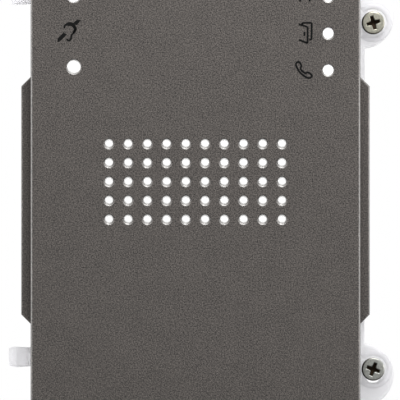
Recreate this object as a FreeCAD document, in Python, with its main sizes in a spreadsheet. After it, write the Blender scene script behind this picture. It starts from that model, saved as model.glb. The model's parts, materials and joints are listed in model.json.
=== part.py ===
"""Speaking module of a door intercom, as the separate pieces that come apart on a bench.

X runs to the right and Z up, as a caller sees the module, and its face looks along -Y. The origin is the
centre of the rear cover's flat back. Depths are given as distances forward of that back, so a point that
lies a distance forward has minus that distance as its Y. Lengths are in millimetres.
"""
import FreeCAD, Part
import math
import os

import Sketcher
from FreeCAD import Placement, Rotation, Vector

SIZES = {
    # face plate, a shallow cast tray with a wing on each side
    "plate_width": 86.0,
    "plate_height": 120.0,
    "plate_wall": 2.0,
    "plate_corner": 1.6,
    "plate_edge": 0.5,
    "skirt_wall": 1.8,
    "tray_depth": 6.0,
    "wing_height": 64.6,
    "wing_reach": 2.5,
    "wing_thickness": 2.0,
    "wing_edge": 0.4,
    # sound holes
    "grille_columns": 10,
    "grille_rows": 5,
    "grille_pitch": 5.01,
    "grille_row_pitch": 4.93,
    "grille_height": 4.9,
    "grille_hole": 2.2,
    "grille_rim": 0.38,
    # status lights on the right, microphone and light sensor on the left
    "light_count": 3,
    "light_inset": 8.4,
    "light_end_inset": 6.9,
    "light_pitch": 9.6,
    "light_hole": 2.9,
    "sensor_inset": 11.3,
    "sensor_end_inset": 6.5,
    "microphone_drop": 18.7,
    "sensor_hole": 3.6,
    "hole_rim": 0.25,
    # screws that hold the plate to the carrier
    "plate_screw_column": 16.0,
    "plate_screw_end_inset": 9.0,
    "plate_boss": 5.0,
    "plate_boss_depth": 3.4,
    # depth layers
    "rear_depth": 23.0,
    "ear_thickness": 3.0,
    "front_gap": 0.8,
    # carrier moulding
    "carrier_front_wall": 2.0,
    "carrier_side_wall": 1.6,
    "nose_gap": 0.4,
    "flange_left_inset": 1.0,
    "flange_right_reach": 1.2,
    "flange_end_inset": 0.5,
    "flange_corner": 1.2,
    "cup_wall": 1.4,
    "cup_floor": 1.5,
    "cup_gap": 0.2,
    # ears and their captive screws
    "frame_screw_outset": 3.4,
    "frame_screw_top_inset": 13.6,
    "frame_screw_bottom_inset": 15.9,
    "ear_outset": 0.6,
    "ear_outward": 1.5,
    "ear_radius": 8.2,
    "ear_rim": 1.0,
    "collar_inner": 3.9,
    "collar_wall": 0.8,
    "collar_height": 0.8,
    "slot_run": 2.1,
    "slot_gap": 0.2,
    "frame_screw_shank": 3.0,
    "frame_screw_neck": 2.5,
    "frame_screw_neck_gap": 0.2,
    "frame_screw_head": 6.0,
    "frame_screw_crown": 1.1,
    "frame_screw_head_height": 2.2,
    "frame_screw_length": 12.0,
    "cross_width": 0.9,
    "cross_span": 3.4,
    "cross_depth": 1.4,
    "washer_width": 6.0,
    "washer_thickness": 0.8,
    "washer_gap": 0.1,
    "washer_fit": 0.03,
    # hooks on the left edge
    "hook_top_inset": 6.2,
    "hook_bottom_inset": 19.1,
    "hook_reach": 6.8,
    "hook_width": 4.75,
    "hook_waist": 5.4,
    "hook_thickness": 2.0,
    "hook_lip": 1.9,
    "hook_drop": 3.0,
    "hook_bend": 1.7,
    # seals
    "membrane_thickness": 0.3,
    "membrane_margin": 2.4,
    "front_seal_width": 2.6,
    "rear_seal_thickness": 0.8,
    "mesh_seal_width": 2.0,
    # loudspeaker, from its front flange to its magnet
    "speaker_diameter": 50.0,
    "speaker_gap": 0.3,
    "speaker_seal_thickness": 1.0,
    "speaker_seal_width": 3.4,
    "basket_metal": 0.8,
    "basket_depth": 9.2,
    "basket_floor_radius": 13.0,
    "magnet_radius": 14.0,
    "magnet_bore": 7.5,
    "magnet_height": 5.0,
    "pole_plate": 2.0,
    "pole_plate_radius": 12.0,
    "pole_radius": 5.0,
    "coil_gap": 0.3,
    "coil_wall": 0.6,
    "coil_depth": 2.4,
    "cone_paper": 0.5,
    "cone_setback": 0.8,
    "cone_neck_rise": 1.6,
    "surround_width": 3.9,
    "surround_gap": 0.3,
    "dust_cap_rise": 1.8,
    "damper_rise": 1.4,
    "damper_cloth": 0.4,
    "clamp_thickness": 1.0,
    "clamp_screw_outset": 4.0,
    "clamp_boss": 5.0,
    "locating_wall": 1.5,
    "lug_width": 7.0,
    "lug_overlap": 3.0,
    "lug_rise": 0.6,
    "lug_contact": 2.0,
    "lug_contact_pitch": 3.6,
    # circuit board and what stands on it
    "board_level": 18.0,
    "board_thickness": 1.6,
    "board_gap": 0.5,
    "board_opening_gap": 6.0,
    "post_inset": 16.0,
    "post_end_inset": 11.5,
    "post_width": 6.0,
    "lamp_size": 1.6,
    "lamp_height": 0.8,
    "lamp_gap": 0.3,
    "pipe_gap": 0.1,
    "pipe_recess": 0.2,
    "pipe_bar_width": 4.0,
    "pipe_bar_thickness": 2.0,
    "window_flange": 4.8,
    "window_stub": 2.4,
    "window_flange_thickness": 1.5,
    "capacitor_width": 8.0,
    "capacitor_length": 10.5,
    "capacitor_pitch": 9.5,
    "capacitor_column": 2.5,
    "capacitor_end_inset": 13.0,
    "transformer_width": 14.0,
    "transformer_height": 12.0,
    "transformer_depth": 10.0,
    "transformer_column": 17.0,
    "chip_end_inset": 27.0,
    "controller_width": 10.0,
    "controller_column": 6.0,
    "amplifier_width": 5.0,
    "amplifier_height": 6.0,
    "amplifier_column": 19.0,
    "chip_thickness": 1.5,
    # microphone in its rubber boot
    "boot_width": 9.0,
    "boot_length": 5.0,
    "boot_channel": 2.0,
    "boot_gap": 0.2,
    "collar_ring_wall": 1.2,
    "collar_ring_depth": 3.5,
    "capsule_width": 6.0,
    "capsule_length": 2.7,
    "capsule_gap": 0.05,
    "pin_width": 0.6,
    "pin_pitch": 2.54,
    # hearing aid loop
    "loop_gap": 1.0,
    "loop_width": 2.0,
    "loop_height": 3.0,
    # rear cover
    "cover_inset": 3.0,
    "cover_wall": 2.0,
    "cover_edge": 1.0,
    "cover_corner": 3.0,
    "lip_height": 1.5,
    "lip_gap": 0.2,
    "column_width": 7.0,
    "counterbore": 5.4,
    "counterbore_depth": 14.0,
    # terminal bay in the rear cover
    "bay_width": 46.0,
    "bay_height": 37.0,
    "bay_depth": 8.0,
    "bay_wall": 2.0,
    "cutout_gap": 0.3,
    # plug-in terminal block
    "terminal_ways": 4,
    "terminal_pitch": 5.0,
    "terminal_end_inset": 17.0,
    "nose_thickness": 7.0,
    "nose_depth": 7.2,
    "shroud_wall": 1.0,
    "shroud_gap": 0.25,
    "header_floor": 3.0,
    "header_rise": 10.4,
    "contact_width": 1.0,
    "contact_gap": 0.2,
    "contact_reach": 4.5,
    "plug_side": 0.5,
    "plug_above": 1.0,
    "plug_below": 3.2,
    "plug_rest": 0.3,
    "plug_inset": 0.8,
    "wire_entry": 3.2,
    "wire_entry_depth": 6.0,
    "wire_entry_level": 4.2,
    "clamp_screw": 3.6,
    "clamp_screw_gap": 0.1,
    "clamp_screw_length": 2.6,
    "clamp_screw_inset": 0.7,
    "clamp_screw_setback": 4.2,
    "driver_slot_width": 0.7,
    "driver_slot_depth": 0.9,
    # line socket, volume trimmers and set-up button beside the terminal block
    "control_rise": 13.0,
    "line_socket_column": 15.0,
    "line_socket_width": 12.4,
    "line_socket_thickness": 8.9,
    "line_socket_rise": 10.3,
    "line_socket_wall": 1.1,
    "line_socket_depth": 7.0,
    "line_pin": 0.64,
    "line_pin_length": 5.5,
    "speaker_trimmer_column": 1.0,
    "microphone_trimmer_column": 10.0,
    "trimmer_width": 7.6,
    "trimmer_height": 5.0,
    "rotor_width": 4.0,
    "rotor_seat": 2.0,
    "rotor_gap": 0.08,
    "rotor_inset": 0.4,
    "button_column": 18.0,
    "button_width": 6.0,
    "button_height": 3.5,
    "button_cap": 3.4,
    "button_travel": 0.4,
    "button_gap": 0.1,
    # small screws
    "thread": 2.5,
    "thread_gap": 0.05,
    "thread_clearance": 0.2,
    "screw_head": 4.8,
    "screw_head_height": 1.5,
    "housing_screw_length": 11.0,
    "plate_screw_length": 4.2,
    "speaker_screw": 2.0,
    "speaker_screw_head": 3.8,
    "speaker_screw_head_height": 1.3,
    "speaker_screw_length": 3.4,
}

doc = FreeCAD.newDocument("door_intercom_module")
sheet = doc.addObject("Spreadsheet::Sheet", "dims")
for row, (alias, number) in enumerate(SIZES.items(), 1):
    sheet.set(f"A{row}", alias)
    sheet.set(f"B{row}", str(number))
    sheet.setAlias(f"B{row}", alias)
doc.recompute()


def text_of(item):
    """Give the sheet formula of a Size, or the digits of a plain number."""
    return item.formula if isinstance(item, Size) else f"({item})"


class Size:
    """A length together with the sheet formula that gives it."""

    def __init__(self, value, formula):
        self.value = value
        self.formula = formula

    def __float__(self):
        return float(self.value)

    def __neg__(self):
        return Size(-self.value, f"(-1 * {self.formula})")

    def __add__(self, other):
        return Size(self.value + float(other), f"({self.formula} + {text_of(other)})")

    __radd__ = __add__

    def __sub__(self, other):
        return Size(self.value - float(other), f"({self.formula} - {text_of(other)})")

    def __rsub__(self, other):
        return Size(float(other) - self.value, f"({text_of(other)} - {self.formula})")

    def __mul__(self, other):
        return Size(self.value * float(other), f"({self.formula} * {text_of(other)})")

    __rmul__ = __mul__

    def __truediv__(self, other):
        return Size(self.value / float(other), f"({self.formula} / {text_of(other)})")


class Sheet:
    """The named sizes, each read from its cell as a Size."""

    def __getattr__(self, alias):
        return Size(float(sheet.get(alias)), f"dims.{alias}")


d = Sheet()

# Depth levels, forward of the rear cover's back.
seat_level = d.rear_depth
ear_front = seat_level + d.ear_thickness
face_front = ear_front + d.tray_depth
face_inner = face_front - d.plate_wall
nose_front = face_inner - d.front_gap
wall_rear = nose_front - d.carrier_front_wall
board_front = d.board_level + d.board_thickness
cover_front = seat_level - d.rear_seal_thickness

# Half widths and half heights of the nested shells.
plate_side = d.plate_width / 2
plate_end = d.plate_height / 2
nose_side = plate_side - d.skirt_wall - d.nose_gap
nose_end = plate_end - d.skirt_wall - d.nose_gap
cavity_side = nose_side - d.carrier_side_wall
cavity_end = nose_end - d.carrier_side_wall
cover_side = plate_side - d.cover_inset
cover_end = plate_end - d.cover_inset
cover_inner_side = cover_side - d.cover_wall
cover_inner_end = cover_end - d.cover_wall

# Places measured in from the edges of the plate and of the cover.
light_column = plate_side - d.light_inset
light_top = plate_end - d.light_end_inset
sensor_column = plate_side - d.sensor_inset
sensor_height = plate_end - d.sensor_end_inset
microphone_height = sensor_height - d.microphone_drop
plate_screw_height = plate_end - d.plate_screw_end_inset
frame_screw_column = plate_side + d.frame_screw_outset
ear_column = plate_side + d.ear_outset
post_column = plate_side - d.post_inset
post_height = plate_end - d.post_end_inset
capacitor_height = plate_end - d.capacitor_end_inset
chip_row = plate_end - d.chip_end_inset
bay_top = cover_end - d.bay_height
terminal_height = cover_end - d.terminal_end_inset
control_height = terminal_height - d.control_rise

# Loudspeaker levels, from its seal down to the back of its magnet.
flange_front = wall_rear - d.speaker_seal_thickness
flange_rear = flange_front - d.basket_metal
basket_floor = flange_front - d.basket_depth
cone_level = flange_front - d.cone_setback
cone_neck_level = basket_floor + d.cone_neck_rise
damper_level = basket_floor + d.damper_rise
magnet_front = basket_floor - d.pole_plate
magnet_rear = magnet_front - d.magnet_height

# Loudspeaker radii, and the rings that follow from them.
speaker_radius = d.speaker_diameter / 2
speaker_opening = speaker_radius - d.speaker_seal_width
cone_radius = speaker_opening - d.surround_width - d.surround_gap
clamp_screw_circle = speaker_radius + d.clamp_screw_outset
board_opening = d.basket_floor_radius + d.board_opening_gap
lug_reach = board_opening + d.lug_overlap
loop_inner = clamp_screw_circle + d.clamp_boss / 2 + d.loop_gap
coil_inner = d.pole_radius + d.coil_gap
coil_outer = coil_inner + d.coil_wall
throat = coil_outer + d.coil_gap

# Where the plate screws' heads rest, on the back of the cup floors.
cup_level = face_inner - d.plate_boss_depth - d.cup_floor

# Screw holes: a thread bites in a pilot hole and passes a clearance hole.
pilot = d.thread / 2 + d.thread_gap
passage = d.thread / 2 + d.thread_clearance
slot_half = d.frame_screw_shank / 2 + d.slot_gap

# How many flat sides stand in for a round one on small, middling and large parts.
SMALL_SIDES = 8
MIDDLE_SIDES = 12
LARGE_SIDES = 20
GRILLE_SIDES = 8

FRAME_SCREWS = {
    "top": (plate_end - d.frame_screw_top_inset, 1),
    "bottom": (d.frame_screw_bottom_inset - plate_end, -1),
}


def bind(item, path, size):
    """Drive a property from a size."""
    item.setExpression(path, text_of(size))


def place(item, x, forward, z):
    """Put an item's base point at x and z, a distance forward of the back."""
    bind(item, "Placement.Base.x", x)
    bind(item, "Placement.Base.y", -forward)
    bind(item, "Placement.Base.z", z)


def subpart(label, item):
    """Name a finished piece and keep it for writing out."""
    item.Label = label
    subparts.append(item)
    return item


def rod(radius, back, front, x=0, z=0, sides=MIDDLE_SIDES):
    """Make a bar along the depth with flat sides."""
    bar = doc.addObject("Part::Prism", "bar")
    bar.Placement = Placement(Vector(), Rotation(Vector(1, 0, 0), 90))
    bar.Polygon = sides
    bind(bar, "Circumradius", radius)
    bind(bar, "Height", front - back)
    place(bar, x, back, z)
    return bar


def tapered(profile, z=0):
    """Make a flat sided bar that widens and narrows between (radius, forward) pairs, from back to front."""
    rows = []
    for radius, level in profile:
        angles = [2 * math.pi * number / LARGE_SIDES for number in range(LARGE_SIDES)]
        rows.append([Vector(float(radius) * math.cos(angle), -float(level),
                            float(z) + float(radius) * math.sin(angle)) for angle in angles])
    outlines = [rows[0], rows[-1]]
    for low, high in zip(rows, rows[1:]):
        outlines += [[low[number - 1], low[number], high[number], high[number - 1]]
                     for number in range(LARGE_SIDES)]
    faces = [Part.Face(Part.makePolygon(spots + spots[:1])) for spots in outlines]
    bar = doc.addObject("Part::Feature", "tapered_bar")
    bar.Shape = Part.makeSolid(Part.Shell(faces))
    return bar


def block(left, right, bottom, top, back, front):
    """Make a rectangular block from its six limits."""
    brick = doc.addObject("Part::Box", "brick")
    bind(brick, "Length", right - left)
    bind(brick, "Width", front - back)
    bind(brick, "Height", top - bottom)
    place(brick, left, front, bottom)
    return brick


def block_at(x, z, width, height, back, front):
    """Make a rectangular block centred on x and z."""
    return block(x - width / 2, x + width / 2, z - height / 2, z + height / 2, back, front)


def join(pieces):
    """Fuse pieces into one solid."""
    fused = doc.addObject("Part::MultiFuse", "fused")
    fused.Shapes = pieces
    fused.Refine = True
    return fused


def carve(base, tool):
    """Cut a tool out of a base."""
    result = doc.addObject("Part::Cut", "carved")
    result.Base = base
    result.Tool = tool
    return result


def group(pieces):
    """Hold separate solids together under one name."""
    compound = doc.addObject("Part::Compound", "set")
    compound.Links = pieces
    return compound


def ring(inner, outer, back, front, x=0, z=0, sides=LARGE_SIDES):
    """Make a flat ring about an axis along the depth."""
    return carve(rod(outer, back, front, x, z, sides), rod(inner, back, front, x, z, sides))


def frame_ring(outer_side, outer_end, inner_side, inner_end, back, front):
    """Make a rectangular ring from half widths and half heights."""
    outer = block(-outer_side, outer_side, -outer_end, outer_end, back, front)
    inner = block(-inner_side, inner_side, -inner_end, inner_end, back, front)
    return carve(outer, inner)


def new_body(x=0, z=0):
    """Start a body whose own axis stands at x and z."""
    body = doc.addObject("PartDesign::Body", "body")
    place(body, x, 0, z)
    return body


def sketch_on(body, plane, offset=0):
    """Start a sketch on one of the body's planes, moved along its normal."""
    sketch = body.newObject("Sketcher::SketchObject", "sketch")
    planes = {feature.Role: feature for feature in body.Origin.OriginFeatures}
    sketch.AttachmentSupport = [(planes[plane], "")]
    sketch.MapMode = "FlatFace"
    bind(sketch, "AttachmentOffset.Base.z", offset)
    return sketch


def at_point(curve, point, x, y):
    """Give the two constraints that hold one point of a sketch curve at x and y, each with its size."""
    return [(Sketcher.Constraint(kind, -1, 1, curve, point, float(distance)), distance)
            for kind, distance in (("DistanceX", x), ("DistanceY", y))]


def at_radius(curve, radius):
    """Give the constraint that holds a sketch arc or circle at a radius, with its size."""
    return [(Sketcher.Constraint("Radius", curve, float(radius)), radius)]


def hold(sketch, constraints):
    """Add constraints to a sketch together, and drive each from its size."""
    added = sketch.addConstraint([constraint for constraint, size in constraints])
    for index, (constraint, size) in zip(added, constraints):
        if isinstance(size, Size):
            sketch.setExpression(f"Constraints[{index}]", size.formula)


def arc_between(start, end, radius):
    """Give the short arc from start to end: it turns left for a positive radius, right for a negative one."""
    chord = end - start
    size = abs(radius)
    height = math.sqrt(max(size * size - chord.Length ** 2 / 4, 0.0))
    left = Vector(-chord.y, chord.x, 0).normalize()
    centre = (start + end) / 2 + left * (height if radius > 0 else -height)
    first, last = (start, end) if radius > 0 else (end, start)
    angles = [math.atan2(spot.y - centre.y, spot.x - centre.x) for spot in (first, last)]
    return Part.ArcOfCircle(Part.Circle(centre, Vector(0, 0, 1), size), *angles)


def outline(sketch, corners):
    """Draw a closed outline. A corner is (x, y), or (x, y, radius) where an arc leads to it."""
    spots = [Vector(float(corner[0]), float(corner[1]), 0) for corner in corners]
    curves = []
    for index, corner in enumerate(corners):
        start = spots[index - 1]
        end = spots[index]
        straight = len(corner) == 2
        curves.append(Part.LineSegment(start, end) if straight else arc_between(start, end, float(corner[2])))
    numbers = sketch.addGeometry(curves, False)
    starts = []
    ends = []
    constraints = []
    for curve, corner in zip(numbers, corners):
        turns_right = len(corner) == 3 and float(corner[2]) < 0
        if len(corner) == 3:
            constraints += at_radius(curve, -corner[2] if turns_right else corner[2])
        starts.append((curve, 2 if turns_right else 1))
        ends.append((curve, 1 if turns_right else 2))
    for index, corner in enumerate(corners):
        following = starts[(index + 1) % len(corners)]
        constraints.append((Sketcher.Constraint("Coincident", *ends[index], *following), None))
        constraints += at_point(*ends[index], corner[0], corner[1])
    hold(sketch, constraints)


def arc_radius(half_width, rise):
    """Give the radius of the arc that spans a half width with a rise."""
    return (half_width * half_width + rise * rise) / (2 * rise)


def rectangle(sketch, left, right, bottom, top):
    """Draw a rectangle from its limits."""
    outline(sketch, [(left, bottom), (right, bottom), (right, top), (left, top)])


def square(sketch, x, y, width):
    """Draw a square about its centre."""
    rectangle(sketch, x - width / 2, x + width / 2, y - width / 2, y + width / 2)


def circle(sketch, x, y, radius):
    """Draw a circle."""
    hoop = Part.Circle(Vector(float(x), float(y), 0), Vector(0, 0, 1), float(radius))
    curve = sketch.addGeometry(hoop, False)
    hold(sketch, at_point(curve, 3, x, y) + at_radius(curve, radius))


def polygon(sketch, x, y, radius, sides):
    """Draw a regular polygon with its corners on a circle."""
    corners = []
    for number in range(sides):
        angle = 2 * math.pi * number / sides
        corners.append((x + radius * round(math.cos(angle), 9), y + radius * round(math.sin(angle), 9)))
    outline(sketch, corners)


def shape_volume(body):
    """Give the body's volume as it stands."""
    doc.recompute()
    return body.Shape.Volume


def pad(body, sketch, length, forward=True):
    """Raise a sketch by a length, towards the face or towards the back."""
    before = shape_volume(body) if body.Tip else 0.0
    feature = body.newObject("PartDesign::Pad", "pad")
    feature.Profile = sketch
    feature.Reversed = not forward
    bind(feature, "Length", length)
    if shape_volume(body) <= before:
        raise RuntimeError(f"{feature.Name} adds nothing")
    return feature


def pocket(body, sketch, length, forward=True):
    """Sink a sketch by a length, towards the face or towards the back."""
    before = shape_volume(body)
    feature = body.newObject("PartDesign::Pocket", "pocket")
    feature.Profile = sketch
    feature.Reversed = forward
    bind(feature, "Length", length)
    if shape_volume(body) >= before:
        raise RuntimeError(f"{feature.Name} cuts nothing")
    return feature


def turned(body, kind, profile, x=0, z=0):
    """Turn (radius, forward) corners round an axis along the depth, as a Revolution or a Groove."""
    before = shape_volume(body) if body.Tip else 0.0
    sketch = sketch_on(body, "XY_Plane", z)
    outline(sketch, [(x + corner[0], -corner[1], *corner[2:]) for corner in profile])
    axis = sketch.addGeometry(Part.LineSegment(Vector(float(x), 0, 0), Vector(float(x), -5, 0)), True)
    hold(sketch, at_point(axis, 1, x, 0) + at_point(axis, 2, x, -5))
    feature = body.newObject(f"PartDesign::{kind}", kind.lower())
    feature.Profile = sketch
    feature.ReferenceAxis = (sketch, ["Axis0"])
    feature.Angle = 360
    change = shape_volume(body) - before
    if (change <= 0) if kind == "Revolution" else (change >= 0):
        raise RuntimeError(f"{feature.Name} changes nothing")
    return feature


def dress(body, kind, size, wanted):
    """Round or bevel the edges that a test picks from the body as it stands."""
    doc.recompute()
    base = body.Tip
    names = [f"Edge{number}" for number, edge in enumerate(base.Shape.Edges, 1) if wanted(edge)]
    if not names:
        raise RuntimeError(f"no edge to {kind}")
    feature = body.newObject(f"PartDesign::{kind}", kind.lower())
    feature.Base = (base, names)
    bind(feature, "Radius" if kind == "Fillet" else "Size", size)
    doc.recompute()
    return feature


def on_level(edge, forward):
    """Tell whether an edge lies in one plane at a distance forward of the back."""
    box = edge.BoundBox
    level = -float(forward)
    return abs(box.YMin - level) < 1e-4 and abs(box.YMax - level) < 1e-4


def along_depth(edge):
    """Tell whether an edge runs straight along the depth."""
    box = edge.BoundBox
    return box.XLength < 1e-4 and box.ZLength < 1e-4


def mirrored_corners(column, height):
    """Give the four points that lie a column and a height from the centre."""
    return [(column * side, height * end) for side in (-1, 1) for end in (-1, 1)]


def rimmed_hole(body, x, z, radius, rim, sides):
    """Cut a hole through the face plate, opened out at the front by a bevel, and give both cuts."""
    bore = sketch_on(body, "XZ_Plane", face_inner)
    polygon(bore, x, z, radius, sides)
    hole = pocket(body, bore, d.plate_wall)
    mouth = sketch_on(body, "XZ_Plane", face_front)
    polygon(mouth, x, z, radius + rim, sides)
    bevel = pocket(body, mouth, rim, forward=False)
    bevel.TaperAngle = -45
    return [hole, bevel]


def light_heights():
    """Give the heights of the status lights, from the top one down."""
    return [light_top - d.light_pitch * number for number in range(int(float(d.light_count)))]


def front_plate():
    """Cast the face plate: a tray with rounded edges, two wings, bosses and all its holes."""
    body = new_body()
    sketch = sketch_on(body, "XZ_Plane", ear_front)
    rectangle(sketch, -plate_side, plate_side, -plate_end, plate_end)
    pad(body, sketch, d.tray_depth)
    dress(body, "Fillet", d.plate_corner, along_depth)
    dress(body, "Chamfer", d.plate_edge, lambda edge: on_level(edge, face_front))

    wings = sketch_on(body, "XZ_Plane", ear_front)
    root = d.wing_height / 2
    shoulder = root - d.wing_reach
    inner = plate_side - d.skirt_wall / 2
    outer = plate_side + d.wing_reach
    outline(wings, [(inner, -root), (plate_side, -root), (outer, -shoulder), (outer, shoulder),
                    (plate_side, root), (inner, root)])
    outline(wings, [(-inner, root), (-plate_side, root), (-outer, shoulder), (-outer, -shoulder),
                    (-plate_side, -root), (-inner, -root)])
    pad(body, wings, d.wing_thickness)
    wing_front = ear_front + d.wing_thickness
    dress(body, "Chamfer", d.wing_edge,
          lambda edge: on_level(edge, wing_front) and abs(edge.CenterOfMass.x) > float(plate_side) + 1e-3)

    hollow = sketch_on(body, "XZ_Plane", ear_front)
    inner_side = plate_side - d.skirt_wall
    inner_end = plate_end - d.skirt_wall
    rectangle(hollow, -inner_side, inner_side, -inner_end, inner_end)
    pocket(body, hollow, d.tray_depth - d.plate_wall)

    screw_spots = mirrored_corners(d.plate_screw_column, plate_screw_height)
    bosses = sketch_on(body, "XZ_Plane", face_inner)
    for x, z in screw_spots:
        square(bosses, x, z, d.plate_boss)
    pad(body, bosses, d.plate_boss_depth, forward=False)
    pilots = sketch_on(body, "XZ_Plane", face_inner - d.plate_boss_depth)
    for x, z in screw_spots:
        polygon(pilots, x, z, pilot, SMALL_SIDES)
    pocket(body, pilots, d.plate_screw_length - d.cup_floor + d.thread / 4)

    for height in light_heights():
        rimmed_hole(body, light_column, height, d.light_hole / 2, d.hole_rim, MIDDLE_SIDES)
    for height in (sensor_height, microphone_height):
        rimmed_hole(body, -sensor_column, height, d.sensor_hole / 2, d.hole_rim, MIDDLE_SIDES)

    first_x = -d.grille_pitch * (d.grille_columns - 1) / 2
    first_z = d.grille_height - d.grille_row_pitch * (d.grille_rows - 1) / 2
    cuts = rimmed_hole(body, first_x, first_z, d.grille_hole / 2, d.grille_rim, GRILLE_SIDES)
    axes = {feature.Role: feature for feature in body.Origin.OriginFeatures}
    pattern = body.newObject("PartDesign::LinearPattern", "sound_holes")
    pattern.Originals = cuts
    pattern.Direction = (axes["X_Axis"], [""])
    pattern.Direction2 = (axes["Z_Axis"], [""])
    bind(pattern, "Length", d.grille_pitch * (d.grille_columns - 1))
    bind(pattern, "Length2", d.grille_row_pitch * (d.grille_rows - 1))
    bind(pattern, "Occurrences", d.grille_columns)
    bind(pattern, "Occurrences2", d.grille_rows)
    body.Tip = pattern
    subpart("front_plate", body)


def hook(body, z):
    """Add one hook to the left edge: a tongue with bowed sides and a lip bent back at its tip."""
    root = -plate_side + d.flange_left_inset
    tip = root - d.hook_reach
    half = d.hook_width / 2
    bow = arc_radius(d.hook_reach / 2, (d.hook_waist - d.hook_width) / 2)
    start = root + d.hook_thickness
    tongue = sketch_on(body, "XZ_Plane", ear_front - d.hook_thickness)
    outline(tongue, [(start, z - half), (start, z + half), (root, z + half), (tip, z + half, bow),
                     (tip, z - half), (root, z - half, bow)])
    pad(body, tongue, d.hook_thickness)
    lip = sketch_on(body, "XZ_Plane", ear_front - d.hook_thickness)
    rectangle(lip, tip, tip + d.hook_lip, z - half, z + half)
    pad(body, lip, d.hook_drop, forward=False)
    middle = float(z)

    def bend(edge):
        centre = edge.CenterOfMass
        return on_level(edge, ear_front) and centre.x < float(tip) + 1e-3 and abs(centre.z - middle) < 0.1

    dress(body, "Fillet", d.hook_bend, bend)


def carrier():
    """Mould the frosted carrier: flange and nose, ears, hooks, and the seats of all that it holds."""
    left = -plate_side + d.flange_left_inset
    right = plate_side + d.flange_right_reach
    end = plate_end - d.flange_end_inset
    body = new_body()
    flange = sketch_on(body, "XZ_Plane", seat_level)
    rectangle(flange, left, right, -end, end)
    pad(body, flange, d.ear_thickness)
    dress(body, "Fillet", d.flange_corner, along_depth)
    nose = sketch_on(body, "XZ_Plane", ear_front)
    rectangle(nose, -nose_side, nose_side, -nose_end, nose_end)
    pad(body, nose, nose_front - ear_front)

    for height, outward in FRAME_SCREWS.values():
        ear_height = height + d.ear_outward * outward
        rim = d.ear_radius - d.ear_rim
        turned(body, "Revolution", [(0, seat_level), (d.ear_radius, seat_level),
                                    (d.ear_radius, ear_front - d.ear_rim),
                                    (rim, ear_front), (0, ear_front)], ear_column, ear_height)
    for height in (plate_end - d.hook_top_inset, d.hook_bottom_inset - plate_end):
        hook(body, height)

    cavity = sketch_on(body, "XZ_Plane", seat_level)
    rectangle(cavity, -cavity_side, cavity_side, -cavity_end, cavity_end)
    pocket(body, cavity, wall_rear - seat_level)

    collars = sketch_on(body, "XZ_Plane", ear_front)
    for height, _ in FRAME_SCREWS.values():
        polygon(collars, frame_screw_column, height, d.collar_inner + d.collar_wall, LARGE_SIDES)
        polygon(collars, frame_screw_column, height, d.collar_inner, LARGE_SIDES)
    pad(body, collars, d.collar_height)
    trims = sketch_on(body, "XZ_Plane", ear_front)
    for height, _ in FRAME_SCREWS.values():
        reach = d.collar_inner + 2 * d.collar_wall
        rectangle(trims, nose_side, plate_side + d.nose_gap, height - reach, height + reach)
    pocket(body, trims, 2 * d.collar_height)

    slots = sketch_on(body, "XZ_Plane", seat_level)
    recesses = sketch_on(body, "XZ_Plane", seat_level)
    for height, outward in FRAME_SCREWS.values():
        run_end = height + d.slot_run * outward
        low, high = (height, run_end) if outward > 0 else (run_end, height)
        obround(slots, frame_screw_column, low, high, slot_half)
        obround(recesses, frame_screw_column, low, high, d.washer_width / 2 + d.slot_gap)
    pocket(body, slots, d.ear_thickness)
    pocket(body, recesses, d.washer_thickness + 2 * d.washer_gap)

    raised_seats(body)
    through_holes(body)
    subpart("carrier", body)


def obround(sketch, x, low, high, radius):
    """Draw a slot outline between two round ends that stand one above the other."""
    span = float(radius)
    left = float(x) - span
    right = float(x) + span
    ends = []
    for z, first, last in ((low, math.pi, 2 * math.pi), (high, 0, math.pi)):
        round_end = Part.Circle(Vector(float(x), float(z), 0), Vector(0, 0, 1), span)
        arc = sketch.addGeometry(Part.ArcOfCircle(round_end, first, last), False)
        hold(sketch, at_point(arc, 3, x, z))
        ends.append(arc)
    hold(sketch, at_radius(ends[0], radius))
    sketch.addConstraint(Sketcher.Constraint("Equal", *ends))
    for side, low_point, high_point in ((left, 1, 2), (right, 2, 1)):
        wall = Part.LineSegment(Vector(side, float(low), 0), Vector(side, float(high), 0))
        line = sketch.addGeometry(wall, False)
        sketch.addConstraint(Sketcher.Constraint("Tangent", line, 1, ends[0], low_point))
        sketch.addConstraint(Sketcher.Constraint("Tangent", line, 2, ends[1], high_point))


def clamp_spots():
    """Give the three speaker clamp screws as points round the loudspeaker's axis."""
    spots = []
    for number in range(3):
        angle = math.radians(90 + 120 * number)
        x = clamp_screw_circle * round(math.cos(angle), 9)
        z = d.grille_height + clamp_screw_circle * round(math.sin(angle), 9)
        spots.append((x, z))
    return spots


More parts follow.
